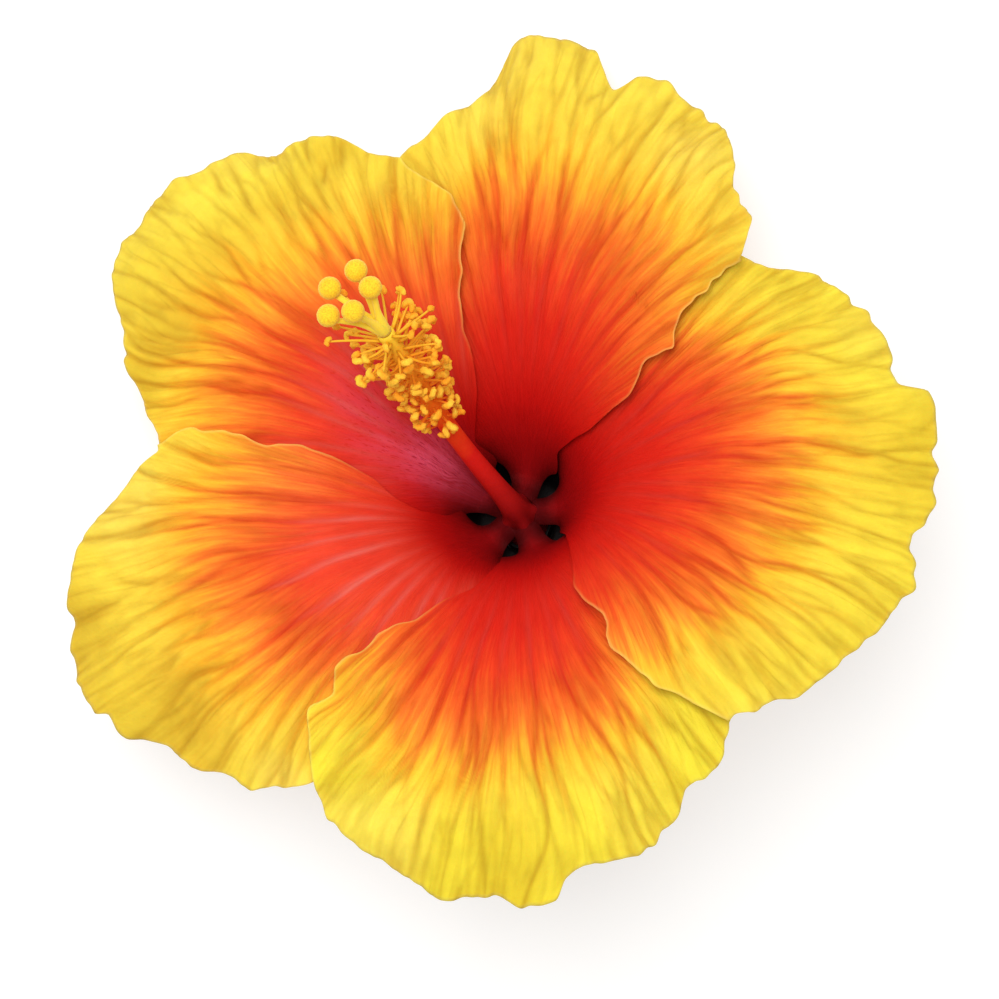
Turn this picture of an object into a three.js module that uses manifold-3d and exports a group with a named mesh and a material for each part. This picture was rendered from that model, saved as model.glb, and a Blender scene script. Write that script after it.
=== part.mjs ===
// A hibiscus flower, picked with a short stalk and laid on a table.
//
// Millimetres. Everything is built about the flower's own axis: +Z comes out of the throat
// and azimuths are degrees about it. The whole flower is then leaned over until it rests on
// the rims of two petals and on the cut end of its stalk, with the origin under the middle.
import * as THREE from 'three';
import * as BufferGeometryUtils from 'three/addons/utils/BufferGeometryUtils.js';
import Module from 'manifold-3d';

const wasm = await Module();
wasm.setup();

// ---------------------------------------------------------------- how it lies
const REST_LEAN = 30.52;
const REST_TOWARD = 115.83;
const REST_SHIFT = new THREE.Vector3(5.91, -14.25, 21.57);

// ---------------------------------------------------------------- petals
// height of the bloom's surface over its radius: throat floor, funnel wall, limb, drooping rim
const FUNNEL = [[3, -2.2], [5, -1.9], [7, -1.1], [8.5, 1], [10, 4.4], [12, 9], [15, 14.3], [19, 18.9],
  [24, 22.8], [31, 26.5], [40, 28.8], [50, 28.8], [60, 26.8], [70, 22.8], [82, 16]];
// waves that all the petals share: how many in a turn, how high, and the phase in degrees
const WAVES = [[5, 1.2, 40], [8, 0.9, 200], [13, 0.7, 75], [19, 0.45, 310]];
const WAVES_FROM = 26;
const WAVES_FULL = 74;

const PETAL_COUNT = 5;
const PETAL_ROOT_RADIUS = 3.75;
const PETAL_THICKNESS = 0.8;
const CLAW_THICKNESS = 1.3;
const PETAL_COLUMNS = 30;
const PETAL_ROWS = 12;
const ROW_CROWDING = 1.35;
const FIRST_CLAW = 79;
const RIM_RADIUS = 60;
// half the angle that a claw fills, over the radius: narrow where the throat's holes are
const CLAW = [[3.5, 22], [5, 17], [7, 17], [8.2, 23], [9.5, 31], [11, 36]];
const CLAW_END = 9;
const BLADE_START = 12;
// how far a petal reaches in under its neighbour, in degrees over the radius
const TUCK = [[9, 0], [14, 9], [20, 14], [60, 15]];
// how far a petal's two edges stand off the shared surface, up on one side, down on the other
const LAYER_STEP = 1.3;

// Each petal is drawn about the direction of its own claw, with azimuths growing towards the
// edge that is tucked under its neighbour. `over` is the free edge, radius to azimuth, `rim`
// the outer margin, azimuth to radius. A fold is a radial ridge or valley of the limb: its
// azimuth, half width, height, and the radii between which it rises.
const PETALS = [
  {
    over: [[11, -27], [14, -40], [18, -48], [25, -49.5], [30, -45], [35, -47], [37, -43], [41, -40],
      [51, -39.5]],
    rim: [[-39, 51.5], [-36, 56.3], [-30.5, 59.5], [-25, 65.5], [-20, 68.3], [-14, 71], [-10.5, 73], [-7, 72],
      [-4.5, 68], [-2, 73], [0, 76.8], [3, 77.8], [10, 78.6], [13, 70], [16, 65.5], [19, 64.5], [24, 60],
      [28, 56.5], [43, 51]],
    folds: [[8, 5, 3, 40, 76], [16, 5, -1.5, 36, 64], [-24, 9, 1.6, 36, 66]],
    lift: 1.2,
  },
  {
    over: [[12, -42], [15, -49], [19, -56], [25, -63], [31, -61], [37, -63.5], [41, -61.5], [46, -61],
      [50, -58], [57, -54.5]],
    rim: [[-55, 56.5], [-52, 57.5], [-48, 59], [-45, 62], [-38, 64.4], [-31, 67], [-24, 69.3], [-21, 68.5],
      [-17, 67.5], [-13, 70], [3, 70.7], [4.5, 67], [10, 66], [17, 64.2], [21, 62.4], [25, 60.3], [29, 55.5],
      [34, 52.6], [46, 50]],
    folds: [[1, 4, 1.6, 44, 70], [8, 4, -1.2, 44, 68], [-30, 8, 1.4, 36, 66]],
    lift: 1.6,
  },
  {
    over: [[14, -33], [19, -37], [23, -46], [29, -52], [34, -57.5], [41, -59.5], [45, -57], [49, -59.5],
      [52, -57], [57, -53]],
    rim: [[-54, 57], [-51, 59.6], [-45, 63.4], [-37, 66.5], [-31, 69.2], [-25, 68.8], [-20, 70.6], [-16, 70],
      [-14, 67], [-11, 66], [-2, 67], [3, 63.8], [6, 60.5], [11, 60.6], [15, 58.2], [18, 56], [32, 53]],
    folds: [[-17, 5, 1.4, 40, 70], [-38, 7, -1.2, 36, 66], [6, 5, 1.0, 40, 62]],
    lift: 1.4,
  },
  {
    over: [[15, -28], [18, -34], [22, -44], [28, -49], [33, -50], [38, -49], [43, -51], [49, -50.5],
      [54, -47]],
    rim: [[-49, 54.5], [-46, 55.6], [-44, 59.3], [-38, 65], [-33, 70.2], [-30, 71.6], [-27, 73.3],
      [-24, 73.4], [-21, 75.5], [-15, 76.3], [-12.5, 76], [-11, 73.8], [-8, 74.2], [-5, 71], [-3, 69],
      [3, 67.4], [8, 64.5], [11, 63.6], [14, 61.4], [17, 59.5], [21, 56], [33, 53]],
    folds: [[-6, 4, -2.2, 40, 72], [0, 4, 1.4, 38, 68], [-30, 7, 1.2, 36, 72]],
    lift: 1.8,
  },
  {
    over: [[12, -29], [15, -40], [18, -46], [23, -48.5], [27, -47.5], [33, -51.5], [41, -53], [47, -51],
      [52, -45], [56, -43.5]],
    rim: [[-44, 54.6], [-41, 56.6], [-38.5, 59.2], [-35.5, 64.5], [-32, 67.2], [-26, 69.6], [-22, 74.5],
      [-17, 78.2], [-14, 79.8], [-4, 79.8], [-1, 78.2], [2, 75.3], [5, 71], [8, 68.8], [11.5, 67],
      [16, 61.2], [19, 59], [22, 56.5], [26, 54], [38, 51]],
    folds: [[5, 4, -1.8, 44, 72], [-30, 7, 1.3, 36, 70], [-6, 7, 1.0, 50, 80]],
    lift: 1.8,
  },
];

// ---------------------------------------------------------------- column and pistil
// the path that the column and the style follow, leaning out of the throat
const COLUMN_TOWARD = 132;
const COLUMN_PATH = [[0, 0, -8.2], [0, 0, -3], [-0.6, 0.3, 3], [-2, 1.6, 7.5], [-5.8, 5.4, 18], [-9, 9, 30],
  [-12, 13.1, 44], [-13.7, 15.4, 50], [-14.4, 16.3, 52.8]];
// along the path, as a fraction of it: outside radius, inside radius
const COLUMN_TOP = 0.955;
const COLUMN_OUTSIDE = [[0, 4], [0.04, 3.9], [0.08, 3.2], [0.125, 2.75], [0.27, 2.05], [0.5, 1.7],
  [0.955, 1.5]];
const COLUMN_INSIDE = [[0, 3.2], [0.05, 3.1], [0.09, 1.9], [0.13, 0.95], [0.955, 0.85]];
const COLUMN_SIDES = 10;
const COLUMN_STEPS = 12;

const STAMEN_COUNT = 42;
const STAMEN_FIRST = 0.53;
const STAMEN_LAST = 0.945;
const STAMEN_LENGTHS = [3.0, 7.0];
const STAMEN_RISE = [8, 38];
const FILAMENT_RADIUS = 0.26;
const ANTHER = [1.3, 0.85, 0.95];
const GOLDEN_ANGLE = 137.508;

const STYLE_RADIUS = 0.45;
const STYLE_START = 0.04;
const STYLE_END = 0.97;
const OVARY_PROFILE = [[0, 0.1], [2.1, 0.1], [2.6, 1.4], [2, 2.9], [0.9, 4], [0, 4.2]];
// each branch of the style: which way round it leaves, and how far it spreads from the column
const BRANCHES = [[22, 39], [75, 36], [118, 19], [278, 15], [335, 36]];
const BRANCH_LENGTH = 7.9;
const STIGMA_RADIUS = 1.8;

// ---------------------------------------------------------------- calyx, epicalyx, stalk
const CALYX_LOBES = 5;
const CALYX_PROFILE = [[4.8, -10.7], [8.6, -10.1], [10.7, -6], [11.4, -1], [12.9, 4], [15.1, 9], [18.4, 14]];
const CALYX_THICKNESS = 0.8;
const CALYX_SINUS = 0.66;
const CALYX_COLUMNS = 35;
const CALYX_ROWS = 8;

const BRACT_COUNT = 7;
const BRACT_PROFILE = [[5, -13.4], [9, -11.6], [12.2, -7.5], [14, -3.4]];
const BRACT_HALF_WIDTH = 0.9;
const BRACT_THICKNESS = 0.7;
const BRACT_ROWS = 7;
const EPICALYX_RING = [[2.1, -14.3], [5.2, -14.1], [6.2, -13.4], [5.2, -12.8], [2.1, -12.8]];

const STALK_PROFILE = [[0, -24], [1.75, -24], [1.6, -20], [1.7, -14.2], [2.0, -12.6], [5.4, -12.4],
  [5.6, -11.6], [4.5, -11.3], [4.4, -8.6], [0, -8.6]];

// ---------------------------------------------------------------- small mathematics
const radians = THREE.MathUtils.degToRad;

function random(seed) {
  let state = seed;
  return () => {
    state = (state * 1664525 + 1013904223) % 4294967296;
    return state / 4294967296;
  };
}

const smooth = (low, high, x) => THREE.MathUtils.smoothstep(x, low, high);

const mix = THREE.MathUtils.lerp;

// slopes of a smooth line through the points that never swings past them
function slopes(points) {
  const steps = points.slice(1).map((p, i) => (p[1] - points[i][1]) / (p[0] - points[i][0]));
  return points.map((p, i) => {
    if (i === 0) return steps[0];
    if (i === points.length - 1) return steps[i - 1];
    const [a, b] = [steps[i - 1], steps[i]];
    return a * b <= 0 ? 0 : (2 * a * b) / (a + b);
  });
}

// a function that reads the smooth line through the points, held level past both ends
function line(points) {
  const slope = slopes(points);
  return (x) => {
    if (x <= points[0][0]) return points[0][1];
    const last = points.length - 1;
    if (x >= points[last][0]) return points[last][1];
    const i = points.findIndex((p) => p[0] > x) - 1;
    const [[x0, y0], [x1, y1]] = [points[i], points[i + 1]];
    const step = x1 - x0;
    const s = (x - x0) / step;
    const ends = (2 * s ** 3 - 3 * s ** 2 + 1) * y0 + (3 * s ** 2 - 2 * s ** 3) * y1;
    return ends + (s ** 3 - 2 * s ** 2 + s) * step * slope[i] + (s ** 3 - s ** 2) * step * slope[i + 1];
  };
}

// ---------------------------------------------------------------- solids
// A thin blade: `middle(u, v)` is its middle surface, `thickness(v)` how thick it is there.
// Both faces carry the same triangles. A ring closes on itself in u.
function blade(columns, rows, middle, thickness, ring = false) {
  const count = ring ? columns : columns + 1;
  const grid = [];
  for (let j = 0; j <= rows; j++) {
    for (let i = 0; i < count; i++) grid.push(middle(i / columns, j / rows));
  }
  const at = (i, j) => (ring ? (i + count) % count : THREE.MathUtils.clamp(i, 0, columns))
    + THREE.MathUtils.clamp(j, 0, rows) * count;
  const faces = [[], []];
  for (let j = 0; j <= rows; j++) {
    for (let i = 0; i < count; i++) {
      const along = grid[at(i + 1, j)].clone().sub(grid[at(i - 1, j)]);
      const out = grid[at(i, j + 1)].clone().sub(grid[at(i, j - 1)]);
      const half = along.cross(out).setLength(thickness(j / rows) / 2);
      faces[0].push(grid[at(i, j)].clone().add(half));
      faces[1].push(grid[at(i, j)].clone().sub(half));
    }
  }
  const under = grid.length;
  const index = [];
  for (let j = 0; j < rows; j++) {
    for (let i = 0; i < columns; i++) {
      const [a, b, c, d] = [at(i, j), at(i + 1, j), at(i + 1, j + 1), at(i, j + 1)];
      index.push(a, b, c, a, c, d, a + under, c + under, b + under, a + under, d + under, c + under);
    }
  }
  const wall = (a, b) => index.push(b, a, a + under, b, a + under, b + under);
  for (let i = 0; i < columns; i++) {
    wall(at(i, 0), at(i + 1, 0));
    wall(at(i + 1, rows), at(i, rows));
  }
  if (!ring) {
    for (let j = 0; j < rows; j++) {
      wall(at(0, j + 1), at(0, j));
      wall(at(columns, j), at(columns, j + 1));
    }
  }
  return indexed([...faces[0], ...faces[1]], index);
}

function indexed(points, index) {
  const geometry = new THREE.BufferGeometry().setFromPoints(points);
  geometry.setIndex(index);
  return geometry;
}

// a closed skin over rings of points, from a first point to a last one
function loft(rings, first, last) {
  const sides = rings[0].length;
  const points = [first, ...rings.flat(), last];
  const index = [];
  const at = (ring, side) => 1 + ring * sides + (side % sides);
  for (let i = 0; i < sides; i++) {
    index.push(0, at(0, i + 1), at(0, i));
    index.push(points.length - 1, at(rings.length - 1, i), at(rings.length - 1, i + 1));
    for (let j = 0; j < rings.length - 1; j++) {
      const [a, b, c, d] = [at(j, i), at(j, i + 1), at(j + 1, i + 1), at(j + 1, i)];
      index.push(a, b, c, a, c, d);
    }
  }
  return indexed(points, index);
}

// a profile of radius and height turned about +Z
function turned(points, sides) {
  return new THREE.LatheGeometry(points.map(([x, y]) => new THREE.Vector2(x, y)), sides).rotateX(Math.PI / 2);
}

function toManifold(geometry) {
  const bare = geometry.clone();
  bare.deleteAttribute('normal');
  bare.deleteAttribute('uv');
  const merged = BufferGeometryUtils.mergeVertices(bare, 1e-5);
  const mesh = new wasm.Mesh({
    numProp: 3,
    vertProperties: new Float32Array(merged.attributes.position.array),
    triVerts: new Uint32Array(merged.index.array),
  });
  return new wasm.Manifold(mesh);
}

function fromManifold(solid) {
  const mesh = solid.getMesh();
  const geometry = new THREE.BufferGeometry();
  geometry.setAttribute('position', new THREE.BufferAttribute(new Float32Array(mesh.vertProperties), 3));
  geometry.setIndex(new THREE.BufferAttribute(new Uint32Array(mesh.triVerts), 1));
  return geometry;
}

// joins pieces into one solid: a hollow that the join seals is filled, a loose scrap is dropped
function fuse(geometries) {
  const joined = geometries.map(toManifold).reduce((all, next) => all.add(next));
  const bodies = joined.decompose().sort((a, b) => b.volume() - a.volume());
  return fromManifold(bodies[0]);
}

// ---------------------------------------------------------------- petals
const funnel = line(FUNNEL);
const claw = line(CLAW);
const tuck = line(TUCK);

// a point of the surface that all the petals lie on, moved off it by `offset`
function bloomPoint(radius, azimuth, offset) {
  const slope = (funnel(radius + 0.2) - funnel(radius - 0.2)) / 0.4;
  const waves = WAVES.map(([count, high, phase]) => high * Math.cos(radians(count * azimuth + phase)));
  const swell = waves.reduce((sum, wave) => sum + wave);
  const run = Math.hypot(1, slope);
  const out = radius - (slope / run) * offset;
  const height = funnel(radius) + swell * smooth(WAVES_FROM, WAVES_FULL, radius) + offset / run;
  return new THREE.Vector3(out * Math.cos(radians(azimuth)), out * Math.sin(radians(azimuth)), height);
}

function petal(number) {
  const { over, rim, folds, lift } = PETALS[number];
  const neighbour = PETALS[(number + PETAL_COUNT - 1) % PETAL_COUNT];
  const [overLine, neighbourLine, rimLine] = [line(over), line(neighbour.over), line(rim)];
  const turn = 360 / PETAL_COUNT;
  const overEdge = (radius) => mix(-claw(radius), overLine(radius), smooth(CLAW_END, BLADE_START, radius));
  const tuckedEdge = (radius) => mix(claw(radius), neighbourLine(radius) + turn + tuck(radius),
    smooth(CLAW_END, BLADE_START, radius));
  const azimuthAt = (radius, across) => mix(tuckedEdge(radius), overEdge(radius), across);
  const foldAt = (radius, azimuth) => folds.reduce((sum, [at, wide, high, from, to]) => (
    sum + high * Math.exp(-(((azimuth - at) / wide) ** 2)) * smooth(from, to, radius)), 0);
  const middle = (across, along) => {
    const rimRadius = rimLine(azimuthAt(RIM_RADIUS, across));
    const radius = mix(PETAL_ROOT_RADIUS, rimRadius, along ** ROW_CROWDING);
    const azimuth = azimuthAt(radius, across);
    const layer = LAYER_STEP * (2 * across - 1) * smooth(5, 10, radius);
    const raised = lift * smooth(0.72, 1, across) * smooth(18, 40, radius);
    return bloomPoint(radius, FIRST_CLAW - turn * number + azimuth, layer + raised + foldAt(radius, azimuth));
  };
  const thickness = (along) => mix(CLAW_THICKNESS, PETAL_THICKNESS, smooth(0, 0.3, along));
  return blade(PETAL_COLUMNS, PETAL_ROWS, middle, thickness);
}

// ---------------------------------------------------------------- column and pistil
const columnPath = new THREE.CatmullRomCurve3(COLUMN_PATH.map((point) => new THREE.Vector3(...point)));

// the path's point at a fraction of it, with the two directions across it
function columnFrame(along) {
  const ahead = columnPath.getTangentAt(along);
  const level = new THREE.Vector3(-Math.sin(radians(COLUMN_TOWARD)), Math.cos(radians(COLUMN_TOWARD)), 0);
  const across = level.cross(ahead).normalize();
  return { point: columnPath.getPointAt(along), ahead, across, sideways: ahead.clone().cross(across) };
}

function columnRing(along, radius, sides) {
  const { point, sideways, across } = columnFrame(along);
  return Array.from({ length: sides }, (_, i) => {
    const angle = (2 * Math.PI * i) / sides;
    return point.clone().addScaledVector(across, radius * Math.cos(angle))
      .addScaledVector(sideways, radius * Math.sin(angle));
  });
}

// the hollow column: a wall between its outside and its inside, joined at both ends
function columnTube() {
  const [outside, inside] = [line(COLUMN_OUTSIDE), line(COLUMN_INSIDE)];
  const steps = Array.from({ length: COLUMN_STEPS + 1 }, (_, i) => COLUMN_TOP * (i / COLUMN_STEPS) ** 1.5);
  const rings = [
    ...steps.map((along) => columnRing(along, outside(along), COLUMN_SIDES)),
    ...steps.reverse().map((along) => columnRing(along, inside(along), COLUMN_SIDES)),
  ];
  const points = rings.flat();
  const index = [];
  rings.forEach((ring, j) => {
    const next = (j + 1) % rings.length;
    for (let i = 0; i < COLUMN_SIDES; i++) {
      const k = (i + 1) % COLUMN_SIDES;
      const [a, b] = [j * COLUMN_SIDES + i, j * COLUMN_SIDES + k];
      const [c, d] = [next * COLUMN_SIDES + k, next * COLUMN_SIDES + i];
      index.push(a, b, c, a, c, d);
    }
  });
  return indexed(points, index);
}

// a three-sided filament from inside the column's wall, bent a little, to its anther
function stamen(along, turn, length, rise, bend) {
  const { point, ahead, sideways, across } = columnFrame(along);
  const outwards = across.clone().multiplyScalar(Math.cos(turn)).addScaledVector(sideways, Math.sin(turn));
  const start = point.clone().addScaledVector(outwards, 1.25);
  const lean = (angle) => outwards.clone().multiplyScalar(Math.cos(angle))
    .addScaledVector(ahead, Math.sin(angle));
  const knee = start.clone().addScaledVector(lean(rise + bend), length * 0.5);
  const end = knee.clone().addScaledVector(lean(rise - bend), length * 0.5);
  const normal = ahead.clone().cross(outwards).normalize();
  const ring = (centre, radius) => [90, 210, 330].map((angle) => centre.clone()
    .addScaledVector(normal, radius * Math.cos(radians(angle)))
    .addScaledVector(lean(rise + Math.PI / 2), radius * Math.sin(radians(angle))));
  const rings = [ring(start, FILAMENT_RADIUS * 1.3), ring(knee, FILAMENT_RADIUS), ring(end, FILAMENT_RADIUS)];
  const anther = new THREE.OctahedronGeometry(1, 0);
  anther.scale(...ANTHER);
  const basis = new THREE.Matrix4().makeBasis(normal, lean(rise + Math.PI / 2), lean(rise));
  anther.applyMatrix4(basis.setPosition(end));
  return [loft(rings, start, end), anther];
}

function staminalColumn() {
  const draw = random(11);
  const pieces = [columnTube()];
  for (let i = 0; i < STAMEN_COUNT; i++) {
    const part = i / (STAMEN_COUNT - 1);
    const along = mix(STAMEN_FIRST, STAMEN_LAST, part ** 0.85);
    const turn = radians(GOLDEN_ANGLE * i + 24 * (draw() - 0.5));
    const length = mix(...STAMEN_LENGTHS, part ** 0.7) * (0.8 + 0.4 * draw());
    const rise = radians(mix(...STAMEN_RISE, draw()));
    pieces.push(...stamen(along, turn, length, rise, radians(14 * (draw() - 0.3))));
  }
  return fuse(pieces);
}

// the ovary in the column's foot, the style through its bore, and the five stigmas
function pistil() {
  const foot = columnFrame(0);
  const ovary = turned(OVARY_PROFILE, 12);
  ovary.translate(foot.point.x, foot.point.y, foot.point.z);
  const steps = Array.from({ length: 15 }, (_, i) => mix(STYLE_START, STYLE_END, i / 14));
  const style = loft(steps.map((along) => columnRing(along, STYLE_RADIUS, 6)),
    columnFrame(STYLE_START).point, columnFrame(STYLE_END).point);
  const pieces = [ovary, style];
  const { ahead, sideways, across } = columnFrame(STYLE_END - 0.01);
  const start = columnFrame(STYLE_END - 0.012).point;
  BRANCHES.forEach(([turnDegrees, spreadDegrees]) => {
    const turn = radians(turnDegrees);
    const spread = Math.tan(radians(spreadDegrees));
    const outwards = across.clone().multiplyScalar(Math.cos(turn)).addScaledVector(sideways, Math.sin(turn));
    const beside = ahead.clone().cross(outwards).normalize();
    const reach = (part) => start.clone()
      .addScaledVector(ahead, BRANCH_LENGTH * part)
      .addScaledVector(outwards, BRANCH_LENGTH * spread * part ** 1.3);
    const ring = (part, radius) => Array.from({ length: 5 }, (_, k) => reach(part)
      .addScaledVector(outwards, radius * Math.cos(radians(72 * k)))
      .addScaledVector(beside, radius * Math.sin(radians(72 * k))));
    pieces.push(loft([ring(0, 0.42), ring(0.5, 0.4), ring(1, 0.38)], reach(0), reach(1)));
    const stigma = new THREE.IcosahedronGeometry(STIGMA_RADIUS, 1);
    const middle = reach(1).addScaledVector(ahead, STIGMA_RADIUS * 0.6);
    stigma.translate(middle.x, middle.y, middle.z);
    pieces.push(stigma);
  });
  return fuse(pieces);
}

// ---------------------------------------------------------------- calyx, epicalyx, stalk
// reads a profile of radius and height at a fraction of its length
function profile(points) {
  const curve = new THREE.CatmullRomCurve3(points.map(([radius, height]) => (
    new THREE.Vector3(radius, height, 0))));
  return (along) => curve.getPointAt(THREE.MathUtils.clamp(along, 0, 1));
}

function calyx() {
  const shape = profile(CALYX_PROFILE);
  const middle = (across, along) => {
    const within = Math.abs(((across * CALYX_LOBES) % 1) - 0.5) * 2;
    const top = mix(1, CALYX_SINUS, within ** 1.2);
    const { x: radius, y: height } = shape(along * top);
    const angle = -2 * Math.PI * across + radians(FIRST_CLAW);
    return new THREE.Vector3(radius * Math.cos(angle), radius * Math.sin(angle), height);
  };
  return blade(CALYX_COLUMNS, CALYX_ROWS, middle, () => CALYX_THICKNESS, true);
}

function epicalyx() {
  const ring = turned([...EPICALYX_RING, EPICALYX_RING[0]], 24);
  const shape = profile(BRACT_PROFILE);
  const pieces = [ring];
  for (let i = 0; i < BRACT_COUNT; i++) {
    const angle = radians((360 / BRACT_COUNT) * i + 20);
    const middle = (across, along) => {
      const { x: radius, y: height } = shape(along);
      const width = BRACT_HALF_WIDTH * (1 - along ** 2.5) + 0.25;
      const point = new THREE.Vector3(radius, (1 - 2 * across) * width, height);
      return point.applyAxisAngle(new THREE.Vector3(0, 0, 1), angle);
    };
    pieces.push(blade(2, BRACT_ROWS, middle, () => BRACT_THICKNESS));
  }
  return fuse(pieces);
}

function stalk() {
  return turned(STALK_PROFILE, 16);
}

// ---------------------------------------------------------------- the flower
const finish = (color, roughness) => new THREE.MeshStandardMaterial({ color, roughness, metalness: 0 });
const petalFinish = finish('#f08a24', 0.6);
const greenFinish = finish('#5f8a34', 0.65);
const stalkFinish = finish('#6f8f3c', 0.7);
const columnFinish = finish('#f0a51e', 0.6);
const stigmaFinish = finish('#f7dc3a', 0.6);

const flower = new THREE.Group();

function place(name, geometry, material) {
  const mesh = new THREE.Mesh(geometry, material);
  mesh.name = name;
  flower.add(mesh);
}

for (let i = 0; i < PETAL_COUNT; i++) place(`petal_${i + 1}`, petal(i), petalFinish);
place('staminal_column', staminalColumn(), columnFinish);
place('pistil', pistil(), stigmaFinish);
place('calyx', calyx(), greenFinish);
place('epicalyx', epicalyx(), greenFinish);
place('stalk', stalk(), stalkFinish);

const leanAxis = new THREE.Vector3(-Math.sin(radians(REST_TOWARD)), Math.cos(radians(REST_TOWARD)), 0);
flower.setRotationFromAxisAngle(leanAxis, radians(REST_LEAN));
flower.position.copy(REST_SHIFT);

const group = new THREE.Group();
group.add(flower);

export default group;
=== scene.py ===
"""The looks of a hibiscus flower that lies on a table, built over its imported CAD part.

Shapes are worked out in millimetres about the flower's own axis, with +Z coming out of the
throat and azimuths in degrees about it. resting() then leans the flower over and puts it
down as the CAD part lies, in metres.
"""
from functools import partial

import bpy
import numpy as np
from bpy.props import FloatProperty, FloatVectorProperty, IntProperty, PointerProperty
from mathutils import Matrix, Vector


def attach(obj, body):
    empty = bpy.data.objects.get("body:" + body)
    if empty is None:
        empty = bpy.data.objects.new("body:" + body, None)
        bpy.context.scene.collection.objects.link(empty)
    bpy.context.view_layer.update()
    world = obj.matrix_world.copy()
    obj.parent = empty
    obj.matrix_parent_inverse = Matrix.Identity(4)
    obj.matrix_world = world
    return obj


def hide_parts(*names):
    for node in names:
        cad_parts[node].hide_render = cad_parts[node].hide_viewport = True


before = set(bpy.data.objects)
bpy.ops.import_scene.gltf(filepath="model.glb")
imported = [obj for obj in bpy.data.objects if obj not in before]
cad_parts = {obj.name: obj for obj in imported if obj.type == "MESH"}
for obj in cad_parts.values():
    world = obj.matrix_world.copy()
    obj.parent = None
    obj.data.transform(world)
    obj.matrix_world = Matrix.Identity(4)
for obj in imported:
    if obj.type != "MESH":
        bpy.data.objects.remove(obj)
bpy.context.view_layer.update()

bl_info = {
    "name": "Hibiscus Flower",
    "version": (1, 0, 0),
    "blender": (4, 5, 0),
    "location": "3D View > Sidebar > Hibiscus",
    "description": "Builds the petals, column, pistil, calyx and stalk of a picked hibiscus flower",
    "category": "Add Mesh",
}

MM = 0.001

# --- how it lies
REST_LEAN = 30.52
REST_TOWARD = 115.83
REST_SHIFT = (5.91, -14.25, 21.57)

# --- petals
# height of the bloom's surface over its radius: throat floor, funnel wall, limb, drooping rim
FUNNEL = [[3, -2.2], [5, -1.9], [7, -1.1], [8.5, 1], [10, 4.4], [12, 9], [15, 14.3], [19, 18.9],
          [24, 22.8], [31, 26.5], [40, 28.8], [50, 28.8], [60, 26.8], [70, 22.8], [82, 16]]
# waves that all the petals share: how many in a turn, how high, and the phase in degrees
WAVES = [[5, 1.2, 40], [8, 0.9, 200], [13, 0.7, 75], [19, 0.45, 310]]
WAVES_FROM, WAVES_FULL = 26, 74

PETAL_ROOT_RADIUS = 2.9
# how far the claws are arched, as the spokes between the throat's holes
CLAW_ARCH = 1.3
# how far a claw's root climbs the column's foot
ROOT_CLIMB = 0.8
CLAW_THICKNESS = 1.1
RIM_THICKNESS = 0.14
FIRST_CLAW = 79
RIM_RADIUS = 60
# half the angle that a claw fills, over the radius: narrow where the throat's holes are
CLAW = [[3.2, 34], [3.8, 29.5], [4.6, 25], [5.6, 22.5], [6.6, 23], [7.6, 26], [8.5, 31.5],
        [9.2, 38.5]]
CLAW_END, BLADE_START = 9.2, 12
# painted shade about each hole, on the claws beside it: its radius, half width and half length
HOLE_SHADE_PLACE = [6.4, 3.0, 4.0]
# how far a petal reaches in under its neighbour, in degrees over the radius
TUCK = [[9.2, 4], [12, 9], [16, 12], [20, 14], [60, 15]]
# how far a petal's two edges stand off the shared surface, up on one side and down on the
# other, over the radius
LAYER = [[5.5, 0], [8.5, 0.5], [12, 0.6], [16, 0.8], [24, 1.3]]
# a petal's width where its limb is widest, by which its veins and crinkles are spaced
LIMB_WIDTH = 100
# the angle over which the veins of a petal fan out, over the radius, and the middle of the fan
FAN = [[4, 30], [8, 48], [14, 70], [24, 90], [40, 106], [60, 119], [82, 128]]
FAN_MIDDLE = -4

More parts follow.
